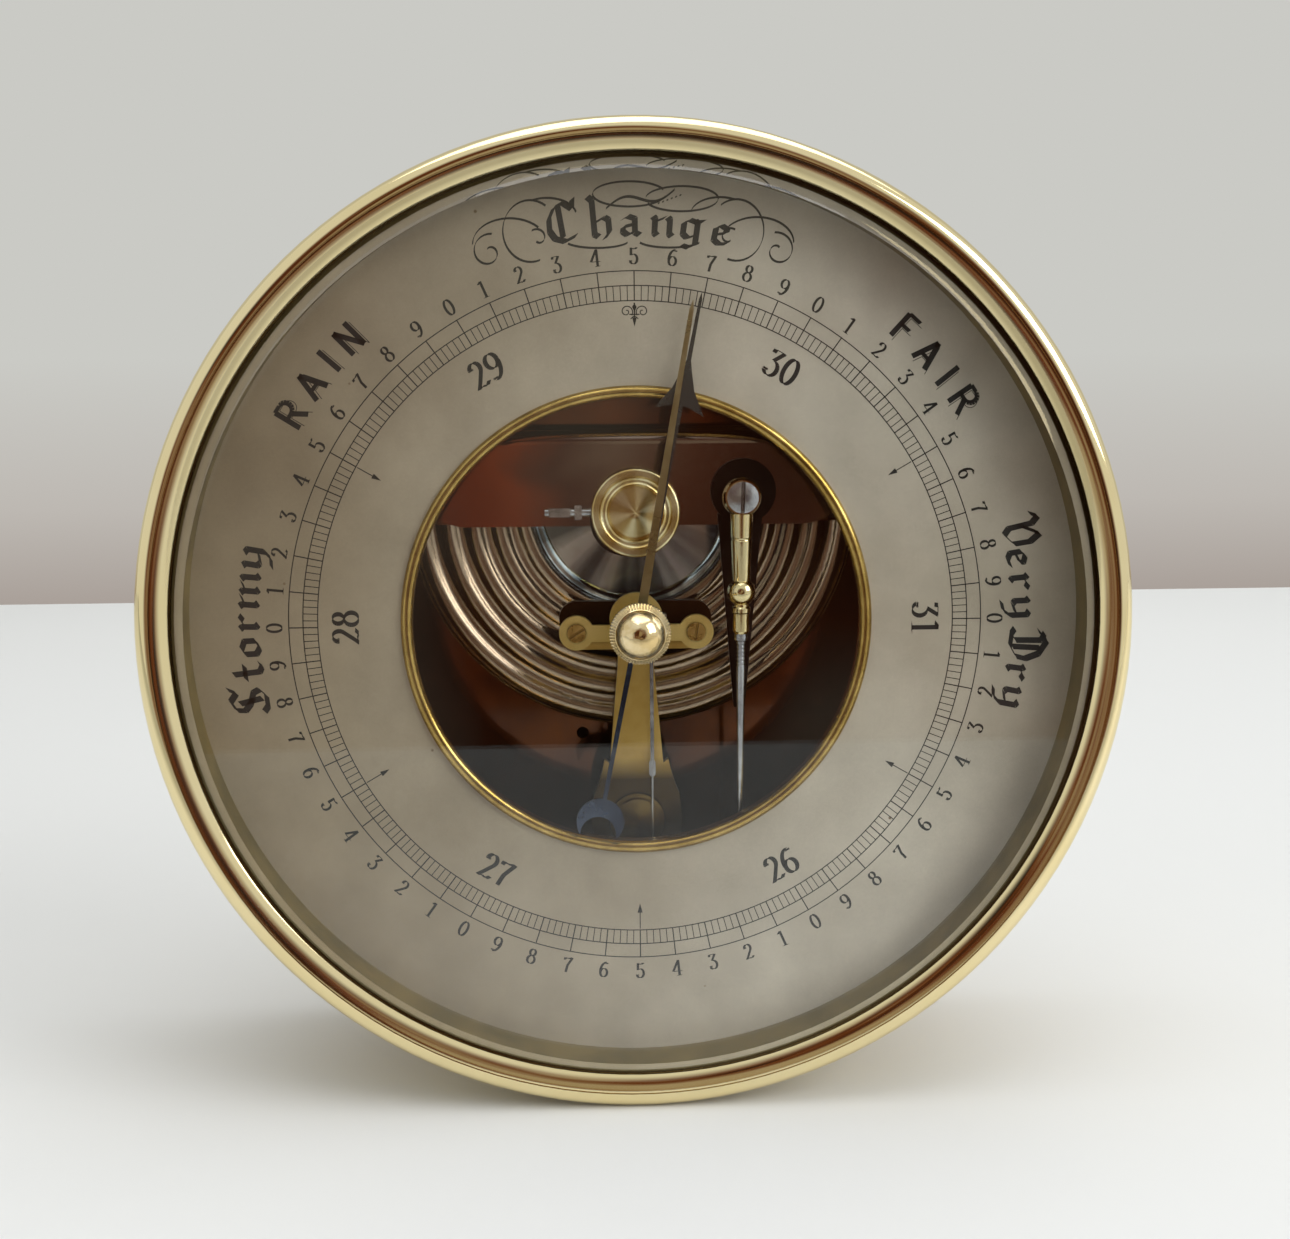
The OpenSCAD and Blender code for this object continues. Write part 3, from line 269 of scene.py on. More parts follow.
def wiped_tin():
    low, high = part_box("capsule_front")
    material, tree = new_material("tinned sheet with a painted reflection in the middle")
    place = add(tree, "TexCoord").outputs["Object"]
    from_axis = add(tree, "VectorMath", {"operation": "SUBTRACT", 1: (low + high) / 2}, {0: place})
    flat = add(tree, "VectorMath", {"operation": "MULTIPLY", 1: (1, 0, 1)}, {0: from_axis})
    radius = add(tree, "VectorMath", {"operation": "LENGTH"}, {0: flat})
    middle = add(tree, "MapRange",
                 {"From Min": (SMOOTH_MIDDLE + SOFT_EDGE) * MM, "From Max": SMOOTH_MIDDLE * MM},
                 {"Value": radius.outputs["Value"]})
    drift = add(tree, "TexNoise", {"Scale": per_mm(9), "Detail": 3.0}, {"Vector": place})
    # The ridges' brown is part tarnish and part painted reflection of the brown room.
    ridges = add(tree, "Mix", {"data_type": "RGBA", 6: tone("#8E7C69"), 7: tone("#B8A58E")},
                 {0: drift})
    way = add(tree, "VectorMath", {"operation": "NORMALIZE"}, {0: flat})
    strokes = add(tree, "TexNoise", {"Scale": 2.2, "Detail": 2.0}, {"Vector": way})
    fan = add(tree, "MapRange", {"From Min": 0.42, "From Max": 0.58}, {"Value": strokes})
    # The cool, pale middle and its streaks are a painted reflection of the window.
    window_reflection = add(tree, "Mix", {"data_type": "RGBA", 6: tone("#6E7E86"), 7: tone("#E2F2FA")},
                {0: fan})
    colour = add(tree, "Mix", {"data_type": "RGBA"},
                 {0: middle, 6: ridges.outputs[2], 7: window_reflection.outputs[2]})
    dents = add(tree, "TexNoise", {"Scale": per_mm(7), "Detail": 1.0}, {"Vector": place})
    relief = add(tree, "Bump", {"Strength": 0.5, "Distance": 0.25 * MM}, {"Height": dents})
    polish = add(tree, "MapRange", {"To Min": 0.14, "To Max": 0.26}, {"Value": drift})
    shader = add(tree, "BsdfPrincipled", {"Metallic": 1.0},
                 {"Base Color": colour.outputs[2], "Roughness": polish, "Normal": relief})
    return close_material(material, tree, shader)


tin_front = wiped_tin()

# %% [markdown]
# A face turned on a lathe has fine circular grooves, so its reflection stretches from the
# middle outwards, in the fans of light seen on a gramophone record. The shader does that
# with anisotropy, if it is told which way the grooves run: across the line to the centre
# and across the axis, which is a cross product. Real grooves are about 0.05 mm apart and
# are drawn five times coarser in the bump. A wave texture at scale 1 has a ring every
# pi / 10 metres, and that is where RING_FACTOR comes from.

# %% Turned faces
GROOVE = 0.25
RING_FACTOR = math.pi / 10


def turned_face(name, tones, node, rays):
    """Turned brass about the middle of a node, facing -Y, with rays fans of painted highlight."""
    low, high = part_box(node)
    material, tree = new_material(name)
    place = add(tree, "TexCoord").outputs["Object"]
    arm = add(tree, "VectorMath", {"operation": "SUBTRACT", 1: (low + high) / 2}, {0: place})
    groove = add(tree, "VectorMath", {"operation": "CROSS_PRODUCT", 1: (0, 1, 0)}, {0: arm})
    groove_way = add(tree, "VectorMath", {"operation": "NORMALIZE"}, {0: groove})
    split = add(tree, "SeparateXYZ", {}, {0: arm})
    angle = add(tree, "Math", {"operation": "ARCTAN2"},
                {0: split.outputs["Z"], 1: split.outputs["X"]})
    # The lighter fans by angle are painted highlights laid into the colour.
    fans = add(tree, "Math", {"operation": "MULTIPLY", 1: float(rays)}, {0: angle})
    wave = add(tree, "Math", {"operation": "SINE"}, {0: fans})
    mixed = add(tree, "MapRange", {"From Min": -0.7, "From Max": 0.9}, {"Value": wave})
    colour = add(tree, "Mix", {"data_type": "RGBA", 6: tone(tones[0]), 7: tone(tones[1])},
                 {0: mixed})
    rings = add(tree, "TexWave",
                {"wave_type": "RINGS", "rings_direction": "Y", "Scale": RING_FACTOR / (GROOVE * MM),
                 "Distortion": 0.4}, {"Vector": arm})
    relief = add(tree, "Bump", {"Strength": 0.10, "Distance": MARK_DEPTH},
                 {"Height": rings.outputs["Fac"]})
    shader = add(tree, "BsdfPrincipled",
                 {"Metallic": 1.0, "Roughness": 0.24, "Anisotropic": 0.8, "Coat Weight": 0.2},
                 {"Base Color": colour.outputs[2], "Normal": relief, "Tangent": groove_way})
    return close_material(material, tree, shader)


button_face = turned_face("turned brass button", ("#CDB274", "#F6EABC"), "post_button", 6)
# The screw head's dark tones are painted shade, like the foot of the arm that it holds.
foot_face = turned_face("turned brass screw head in painted shade", ("#5A4828", "#86703F"), "foot_screw", 2)

# %% [markdown]
# The bezel is a mirror, and a mirror magnifies every facet of a mesh. Its section is known
# though: a roll, which is part of one circle, and a hollowed band, which is part of a larger
# one. So the shader works out the true normal from where a point lies, in radius and height,
# and uses it wherever the point is on one of the two circles. The sizes are in mm: the
# roll's centre comes from the bezel's own box, the rest from the section. The quirk is the
# fine line that parts band and roll.

# %% The bezel
ROLL_R = 2.2
BAND_R = 6.0
BAND_CENTRE = (69.90, 3.28)
QUIRK_R = 68.95
ON_CIRCLE = 0.4


def circle_normal(tree, outwards, radius, height, centre, size):
    """The normal of a revolved circle at a point, and 1 where the point is on it."""
    part_r = add(tree, "Math", {"operation": "SUBTRACT", 1: centre[0] * MM}, {0: radius})
    part_h = add(tree, "Math", {"operation": "SUBTRACT", 1: centre[1] * MM}, {0: height})
    sideways = add(tree, "VectorMath", {"operation": "SCALE"}, {0: outwards, "Scale": part_r})
    forward = add(tree, "VectorMath", {"operation": "SCALE", 0: (0, -1, 0)}, {"Scale": part_h})
    both = add(tree, "VectorMath", {"operation": "ADD"}, {0: sideways, 1: forward})
    reach = add(tree, "VectorMath", {"operation": "LENGTH"}, {0: both})
    on = add(tree, "Math", {"operation": "COMPARE", 1: size * MM, 2: ON_CIRCLE * MM},
             {0: reach.outputs["Value"]})
    normal = add(tree, "VectorMath", {"operation": "NORMALIZE"}, {0: both})
    return normal, on


def bezel_brass():
    low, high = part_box("bezel")
    roll_centre = ((high.x - low.x) / 2 / MM - ROLL_R, (DIAL_Y - low.y) / MM - ROLL_R)
    material, tree = new_material("polished lacquered brass of the bezel")
    place = add(tree, "TexCoord").outputs["Object"]
    from_dial = add(tree, "VectorMath", {"operation": "SUBTRACT", 1: (0, DIAL_Y, AXIS_Z)},
                    {0: place})
    flat = add(tree, "VectorMath", {"operation": "MULTIPLY", 1: (1, 0, 1)}, {0: from_dial})
    radius = add(tree, "VectorMath", {"operation": "LENGTH"}, {0: flat}).outputs["Value"]
    outwards = add(tree, "VectorMath", {"operation": "NORMALIZE"}, {0: flat})
    split = add(tree, "SeparateXYZ", {}, {0: from_dial})
    height = add(tree, "Math", {"operation": "MULTIPLY", 1: -1.0}, {0: split.outputs["Y"]})
    roll, on_roll = circle_normal(tree, outwards, radius, height, roll_centre, ROLL_R)
    band, on_band = circle_normal(tree, outwards, radius, height, BAND_CENTRE, BAND_R)
    inside = add(tree, "Math", {"operation": "LESS_THAN", 1: QUIRK_R * MM}, {0: radius})
    on_band = add(tree, "Math", {"operation": "MULTIPLY"}, {0: on_band, 1: inside})
    on_roll = add(tree, "Math", {"operation": "GREATER_THAN"}, {0: on_roll, 1: inside})
    true = add(tree, "NewGeometry").outputs["Normal"]
    true = add(tree, "Mix", {"data_type": "VECTOR"}, {0: on_roll, 4: true, 5: roll}).outputs[1]
    true = add(tree, "Mix", {"data_type": "VECTOR"}, {0: on_band, 4: true, 5: band}).outputs[1]
    drift = add(tree, "TexNoise", {"Scale": per_mm(14), "Detail": 4.0}, {"Vector": place})
    colour = add(tree, "Mix", {"data_type": "RGBA", 6: tone("#E6D39B"), 7: tone("#F2E3B6")},
                 {0: drift})
    polish = add(tree, "MapRange", {"To Min": 0.05, "To Max": 0.11}, {"Value": drift})
    hairlines = add(tree, "TexNoise", {"Scale": per_mm(0.6), "Detail": 2.0}, {"Vector": place})
    relief = add(tree, "Bump", {"Strength": 0.04, "Distance": MARK_DEPTH},
                 {"Height": hairlines, "Normal": true})
    shader = add(tree, "BsdfPrincipled",
                 {"Metallic": 1.0, "Coat Weight": 0.2, "Coat Roughness": 0.05},
                 {"Base Color": colour.outputs[2], "Roughness": polish, "Normal": relief})
    return close_material(material, tree, shader)


brass_bezel = bezel_brass()

# %% [markdown]
# A silvered dial is brass rubbed with silver chloride: a matt, slightly warm white with a
# fine grain that scatters light, much less of a mirror than silver plate. It is a metal
# seen through its own roughness, so it is a third metallic and rough, with a faint bloom of
# age, a few specks, and painted shade that darkens and browns its left side, away from the
# window light. Its grain is drawn some ten times coarser than the real one. The engraving is
# filled with black shellac wax, stoned flush, nearly matt.

# %% The dial's silvering and its wax
DARKEST_X, LIGHTEST_X = -48, 22


def silvered_brass():
    material, tree = new_material("silvered brass dial")
    place = add(tree, "TexCoord").outputs["Object"]
    bloom = add(tree, "TexNoise", {"Scale": per_mm(45), "Detail": 3.0}, {"Vector": place})
    clouds = add(tree, "TexNoise", {"Scale": per_mm(11), "Detail": 5.0, "Roughness": 0.62},
                 {"Vector": place})
    grain = add(tree, "TexNoise", {"Scale": per_mm(0.35), "Detail": 2.0}, {"Vector": place})
    specks = add(tree, "TexVoronoi", {"Scale": per_mm(9), "Randomness": 1.0}, {"Vector": place})
    dots = add(tree, "MapRange", {"From Min": 0.02, "From Max": 0.035}, {"Value": specks})
    aged = add(tree, "ValToRGB", {}, {"Fac": bloom}, ((0.35, "#B5AB9A"), (0.65, "#CCC5B7")))
    cloudy = add(tree, "MapRange",
                 {"From Min": 0.3, "From Max": 0.7, "To Min": 0.90, "To Max": 1.08},
                 {"Value": clouds})
    fine = add(tree, "MapRange", {"To Min": 0.93, "To Max": 1.07}, {"Value": grain})
    grained = add(tree, "Math", {"operation": "MULTIPLY"}, {0: cloudy, 1: fine})
    dusted = add(tree, "Mix", {"data_type": "RGBA", "blend_type": "MULTIPLY", 0: 1.0},
                 {6: aged, 7: grained})
    # Painted shade: the dial darkens towards the left, away from the window light.
    side = add(tree, "SeparateXYZ", {}, {0: place})
    light_across = add(tree, "MapRange", {"From Min": DARKEST_X * MM, "From Max": LIGHTEST_X * MM},
                  {"Value": side.outputs["X"]})
    browned = add(tree, "Mix", {"data_type": "RGBA", 6: tone("#CFC5B6"), 7: tone("#FFFFFF")},
                  {0: light_across})
    toned = add(tree, "Mix", {"data_type": "RGBA", "blend_type": "MULTIPLY", 0: 1.0},
                {6: dusted.outputs[2], 7: browned.outputs[2]})
    spotted = add(tree, "Mix", {"data_type": "RGBA", 6: tone("#7D6A52")},
                  {0: dots, 7: toned.outputs[2]})
    relief = add(tree, "Bump", {"Strength": 0.12, "Distance": MARK_DEPTH}, {"Height": grain})
    shader = add(tree, "BsdfPrincipled", {"Metallic": 0.35, "Roughness": 0.5},
                 {"Base Color": spotted.outputs[2], "Normal": relief})
    return close_material(material, tree, shader)


def black_wax():
    material, tree = new_material("black engraving wax")
    place = add(tree, "TexCoord").outputs["Object"]
    worn = add(tree, "TexNoise", {"Scale": per_mm(1.2), "Detail": 2.0}, {"Vector": place})
    colour = add(tree, "ValToRGB", {}, {"Fac": worn}, ((0.0, "#0C0B0A"), (1.0, "#1C1A18")))
    shader = add(tree, "BsdfPrincipled", {"Roughness": 0.55, "IOR": 1.5}, {"Base Color": colour})
    return close_material(material, tree, shader)


silvering = silvered_brass()
wax = black_wax()

# %% [markdown]
# The glass is a real solid with its ground bevel, so it can refract for real: the edge of
# the dial shows twice through the 45 degree bevel. Plain lamps can't light what lies behind
# refracting glass, so for shadow rays alone the glass is clear, which is how a real pane
# behaves to the eye.

# %% Glass
def plate_glass():
    material, tree = new_material("polished plate glass")
    place = add(tree, "TexCoord").outputs["Object"]
    wave = add(tree, "TexNoise", {"Scale": per_mm(30), "Detail": 1.0}, {"Vector": place})
    relief = add(tree, "Bump", {"Strength": 0.02, "Distance": 0.05 * MM}, {"Height": wave})
    glass = add(tree, "BsdfPrincipled",
                {"Base Color": tone("#FBFCFA"), "Transmission Weight": 1.0, "Roughness": 0.0,
                 "IOR": 1.5},
                {"Normal": relief})
    clear = add(tree, "BsdfTransparent", {"Color": tone("#FAFAF7")})
    ray = add(tree, "LightPath")
    shader = add(tree, "MixShader", {}, {0: ray.outputs["Is Shadow Ray"], 1: glass, 2: clear})
    return close_material(material, tree, shader)


glass_clear = plate_glass()

# %% [markdown]
# Each solid now gets its finish. The list is by finish, as a workshop would sort the
# pieces before lacquering, and a solid that it forgets stops the script.

# %% Give every solid its finish
finishes = {
    "bezel": brass_bezel, "aperture_ring": brass_bead, "set_knob": brass_handled,
    "post_button": button_face, "main_lever": brass_polished, "glass_bush": brass_polished,
    "movement_arm": brass_arm, "foot_screw": foot_face, "set_hand": brass_dull,
    "pivot_plate_screws": brass_screw,
    "case_drum": brass_case, "case_back": brass_case, "spacer_ring": brass_olive,
    "back_screws": brass_screw, "case_screws": brass_screw,
    "movement_plate": brass_dark, "spring_bridge": brass_dark, "mainspring": spring_steel,
    "dial_plate": silvering, "glass": glass_clear,
    "capsule_front": tin_front, "capsule_back": tin_sheet, "capsule_rim": tin_sheet,
    "post_collar": steel_black, "lever_strap": steel_black,
    "indicating_hand": steel_blued, "hairspring": steel_blued,
}
for name in ("movement_pillars", "dial_posts", "capsule_stud", "adjuster_boss", "bridge_posts",
             "arm_pillar", "plate_pillars", "pivot_plate",
             "chain_pulley", "hand_collet", "hairspring_collet",
             "chain_arm", "crank_arm", "rocker_cocks", "set_spindle"):
    finishes[name] = brass_grained
for name in ("dial_post_screws", "bridge_screws", "adjusting_screw", "capsule_post", "knife_edge",
             "lever_screw", "lever_rod", "lever_link", "hand_arbor", "hairspring_stud", "chain",
             "chain_hook", "rocking_shaft", "cock_screws"):
    finishes[name] = steel_turned

for name, solid in nodes.items():
    solid.data.materials.clear()
    solid.data.materials.append(finishes[name])
print("finished", len(nodes), "solids with", len(set(finishes.values())), "finishes")

# %% [markdown]
# Engraving is a cut with a tool of a certain shape, so letters and figures are drawn the
# way a pen draws them: a path, swept by a nib. A nib that lies level makes thick uprights
# and hairline bars, as in old figures, and a nib held at 35 degrees makes black letter.
# Each stroke becomes a thin closed prism of wax that stands two hundredths of a millimetre
# proud of the dial, so that it shows cleanly and is a solid in its own right.

# %% Strokes of wax
WAX_LOW, WAX_HIGH = -0.01, 0.02
SHORTEST = 1e-6


class Engraving:
    """Collects strokes, given in dial millimetres, and makes one mesh piece of them."""

    def __init__(self):
        self.mesh = bmesh.new()

    def prism(self, outline):
        """A closed prism over a flat outline of (x, w) points, counter-clockwise."""
        low = [self.mesh.verts.new(dial_point(x, w, WAX_LOW)) for x, w in outline]
        high = [self.mesh.verts.new(dial_point(x, w, WAX_HIGH)) for x, w in outline]
        self.mesh.faces.new(list(reversed(low)))
        self.mesh.faces.new(high)
        for i in range(len(outline)):
            j = (i + 1) % len(outline)
            self.mesh.faces.new((low[i], low[j], high[j], high[i]))

    def stroke(self, path, nib, hair):
        """Sweeps a nib (dx, dw) and a round hairline of width hair along a path."""
        for (x0, w0), (x1, w1) in zip(path, path[1:]):
            run = math.hypot(x1 - x0, w1 - w0)
            if run < SHORTEST:
                continue
            side = (-(w1 - w0) / run, (x1 - x0) / run)
            across = side[0] * nib[0] + side[1] * nib[1]
            reach = abs(across) / 2 + hair / 2
            lean = (side[0] * reach, side[1] * reach)
            slip = ((nib[0] - side[0] * across) / 2, (nib[1] - side[1] * across) / 2)
            if across < 0:
                slip = (-slip[0], -slip[1])
            self.prism([(x0 - lean[0] - slip[0], w0 - lean[1] - slip[1]),
                        (x1 - lean[0] - slip[0], w1 - lean[1] - slip[1]),
                        (x1 + lean[0] + slip[0], w1 + lean[1] + slip[1]),
                        (x0 + lean[0] + slip[0], w0 + lean[1] + slip[1])])

    def finish(self, name):
        """Makes the piece, gives it the wax and lets it ride on the case."""
        bmesh.ops.recalc_face_normals(self.mesh, faces=self.mesh.faces)
        data = bpy.data.meshes.new(name)
        self.mesh.to_mesh(data)
        self.mesh.free()
        piece = bpy.data.objects.new(name, data)
        bpy.context.scene.collection.objects.link(piece)
        data.materials.append(wax)
        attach(piece, "case")
        print(name, "has", len(data.polygons), "faces")


def arc(cx, cw, rx, rw, start, end, steps):
    """Points on an ellipse, angles in degrees counter-clockwise from +x."""
    turn = [math.radians(start + (end - start) * i / steps) for i in range(steps + 1)]
    return [(cx + rx * math.cos(a), cw + rw * math.sin(a)) for a in turn]


# %% [markdown]
# The figures are all of one height and have strong contrast. Each is a few paths in a box
# one unit high, thick where the path runs upright. The same paths serve for the small
# tenths and for the large inch numerals, only with another size and nib. What rises over a
# height of one, as in black letter, is stretched by the share ASCENT more.

# %% Figures 0 to 9
FIGURES = {
    "0": [arc(0.30, 0.50, 0.22, 0.47, 0, 360, 24)],
    "1": [[(0.30, 0.0), (0.30, 0.98)], [(0.12, 0.84), (0.30, 0.98)], [(0.13, 0.01), (0.47, 0.01)]],
    "2": [arc(0.29, 0.73, 0.19, 0.24, 165, -35, 12) + [(0.20, 0.22), (0.06, 0.03)],
          [(0.06, 0.05), (0.20, 0.09), (0.40, 0.04), (0.52, 0.16)],
          arc(0.13, 0.76, 0.03, 0.03, 0, 360, 8)],
    "3": [[(0.10, 0.82), (0.12, 0.95), (0.47, 0.95), (0.23, 0.56)],
          arc(0.26, 0.29, 0.23, 0.28, 100, -150, 14), arc(0.10, 0.20, 0.03, 0.03, 0, 360, 8)],
    "4": [[(0.40, 0.0), (0.40, 0.98)], [(0.40, 0.98), (0.03, 0.28), (0.58, 0.28)],
          [(0.26, 0.01), (0.54, 0.01)]],
    "5": [[(0.13, 0.52), (0.13, 0.96)], [(0.13, 0.92), (0.34, 0.88), (0.48, 0.97)],
          arc(0.27, 0.31, 0.22, 0.29, 130, -150, 16), arc(0.10, 0.20, 0.03, 0.03, 0, 360, 8)],
    "6": [arc(0.30, 0.29, 0.21, 0.27, 0, 360, 20), arc(0.47, 0.36, 0.39, 0.61, 180, 95, 12),
          arc(0.45, 0.88, 0.03, 0.03, 0, 360, 8)],
    "7": [[(0.07, 0.78), (0.09, 0.92), (0.24, 0.88), (0.38, 0.92), (0.52, 0.97)],
          [(0.52, 0.97), (0.30, 0.45), (0.27, 0.02)]],
    "8": [arc(0.30, 0.75, 0.17, 0.21, 0, 360, 20), arc(0.30, 0.28, 0.22, 0.26, 0, 360, 20)],
    "9": [arc(0.30, 0.69, 0.21, 0.27, 0, 360, 20), arc(0.13, 0.62, 0.39, 0.61, 0, -85, 12),
          arc(0.15, 0.10, 0.03, 0.03, 0, 360, 8)],
}
FIGURE_WIDE = 0.6
ASCENT = 0.75


def write(board, text, glyphs, centre, turn, size, nib, hair, pitch=FIGURE_WIDE, broad=1.0):
    """Writes text about a centre (x, w), turned clockwise by turn degrees, size mm high."""
    cursor = -pitch * len(text) / 2
    a = math.radians(turn)

    def place(x, y):
        x, y = x * size * broad, (y - 0.5 + max(0, y - 1) * ASCENT) * size
        return (centre[0] + x * math.cos(a) + y * math.sin(a),
                centre[1] - x * math.sin(a) + y * math.cos(a))

    nib_turned = ((nib[0] * math.cos(a) + nib[1] * math.sin(a)) * size,
                  (-nib[0] * math.sin(a) + nib[1] * math.cos(a)) * size)
    for letter in text:
        for path in glyphs[letter]:
            board.stroke([place(cursor + x, y) for x, y in path], nib_turned, hair)
        cursor += pitch


def ring_place(radius, angle):
    """The point (x, w) at a radius in mm and an angle clockwise from the top."""
    return (radius * math.sin(math.radians(angle)), radius * math.cos(math.radians(angle)))


# %% [markdown]
# The scale is divided like the real one: three circles, inches of mercury at 60 degrees
# each, tenths every 6 degrees across the whole band and fiftieths every 1.2 degrees in the
# inner band. A dividing engine cuts hairlines of a tenth of a mm, drawn a little broader.
# INCHES lists the readings clockwise from the top, which stands at TOP_READING.

# %% Circles and divisions
CIRCLES = (50.8, 48.73, 46.6)
LINE = 0.15
DEGREES_PER_INCH = 60
TENTH, FIFTIETH = DEGREES_PER_INCH / 10, DEGREES_PER_INCH / 50
INCHES = (30, 31, 26, 27, 28, 29)
TENTHS, FIFTIETHS = 10 * len(INCHES), 50 * len(INCHES)
OVERSHOOT = 0.05
TOP_READING = 29.5

divisions = Engraving()
for radius in CIRCLES:
    divisions.stroke([ring_place(radius, a) for a in range(0, 361, 2)], (0, 0), LINE)
for i in range(TENTHS):
    divisions.stroke([ring_place(CIRCLES[2], TENTH * i),
                      ring_place(CIRCLES[0] + OVERSHOOT, TENTH * i)], (0, 0), LINE * 1.1)
for i in range(FIFTIETHS):
    if i % 5:
        divisions.stroke([ring_place(CIRCLES[2], FIFTIETH * i),
                          ring_place(CIRCLES[1], FIFTIETH * i)], (0, 0), LINE * 0.8)
divisions.finish("scale_divisions")

# %% [markdown]
# The tenths are figured outside the circles and the inches inside. Over the top of the
# dial figures stand on the circle, and below the middle they hang the other way up, so
# that a reader never has to read upside down.

# %% Figures of the scale
TENTH_R, TENTH_TALL, TENTH_HAIR = 52.9, 2.45, 0.10
INCH_R, INCH_TALL, INCH_HAIR, INCH_PITCH = 42.6, 4.1, 0.13, 0.62
THICK_NIB = (0.11, 0.0)
BOLD_NIB = (0.13, 0.0)
FIRST_TURNED, LAST_TURNED = 100, 262


def upright(angle):
    """How far a figure at this angle is turned: its foot points inwards above, outwards below."""
    return angle + 180 if FIRST_TURNED < angle % 360 < LAST_TURNED else angle


tenths = Engraving()
for i in range(TENTHS):
    angle = TENTH * i
    tenth = round((TOP_READING + angle / DEGREES_PER_INCH) * 10) % 10
    write(tenths, str(tenth), FIGURES, ring_place(TENTH_R, angle), upright(angle),
          TENTH_TALL, THICK_NIB, TENTH_HAIR)
tenths.finish("tenth_figures")

inches = Engraving()
for inch in INCHES:
    angle = (inch - TOP_READING) * DEGREES_PER_INCH % 360
    write(inches, str(inch), FIGURES, ring_place(INCH_R, angle), upright(angle),
          INCH_TALL, BOLD_NIB, INCH_HAIR, INCH_PITCH)
inches.finish("inch_figures")

# %% [markdown]
# Small arrows point inwards at the half inches, and a lily marks the top of the dial, a
# traditional ornament of dials and compass cards. The lily is a stem with a point below, a
# bud at its head and a curl on each side, and a curl is a spiral whose radius shrinks as it
# winds.

# %% Half-inch arrows and the lily
ARROW_TAIL, ARROW_NECK, ARROW_TIP = 46.4, 43.9, 42.5
BARB = 0.5
marks = Engraving()
for angle in range(DEGREES_PER_INCH, 360, DEGREES_PER_INCH):
    marks.stroke([ring_place(ARROW_TAIL, angle), ring_place(ARROW_NECK, angle)], (0, 0), 0.14)
    marks.prism([ring_place(ARROW_NECK, angle - BARB), ring_place(ARROW_NECK, angle + BARB),
                 ring_place(ARROW_TIP, angle)])
marks.finish("half_inch_arrows")


def spiral(cx, cw, start_r, end_r, start, sweep, steps):
    """A spiral about (cx, cw) from start_r to end_r, over sweep degrees."""
    points = []
    for i in range(steps + 1):
        t = i / steps
        r = start_r + (end_r - start_r) * t
        a = math.radians(start + sweep * t)
        points.append((cx + r * math.cos(a), cw + r * math.sin(a)))
    return points


LILY_TOP, LILY_FOOT = 46.3, 42.9
lily = Engraving()
lily.stroke([(0, LILY_TOP), (0, LILY_FOOT + 1.2)], (0, 0), 0.2)
lily.prism([(0.32, LILY_FOOT + 1.3), (-0.32, LILY_FOOT + 1.3), (0, LILY_FOOT)])
lily.prism([(0.34, LILY_TOP - 0.6), (0, LILY_TOP - 0.1), (-0.34, LILY_TOP - 0.6),
            (0, LILY_TOP - 1.3)])
lily.stroke([(-0.75, LILY_FOOT + 1.75), (0.75, LILY_FOOT + 1.75)], (0, 0), 0.16)
for side in (-1, 1):
    curl = spiral(1.15, 45.05, 0.95, 0.15, 215, -500, 26)
    lily.stroke([(side * x, w) for x, w in curl], (0, 0), 0.15)
    lily.stroke([(side * 0.1, LILY_FOOT + 1.5), (side * 0.55, LILY_FOOT + 1.1)], (0, 0), 0.14)
lily.finish("lily_mark")

# %% [markdown]
# Weather words are common to all barometers of this kind. Two are in shaded block
# capitals, the other three in black letter, which is made of upright strokes with lozenge
# feet. Each black letter is a few paths again, for the 35 degree nib this time, on an
# x-height of one unit. The rooms say how far each letter takes the line on, in heights.

# %% Letter shapes
def minim(x, top=0.86, foot=0.14):
    """An upright of black letter with a lozenge at its head and foot."""
    return [(x - 0.07, top + 0.12), (x, top), (x, foot), (x + 0.08, foot - 0.12)]


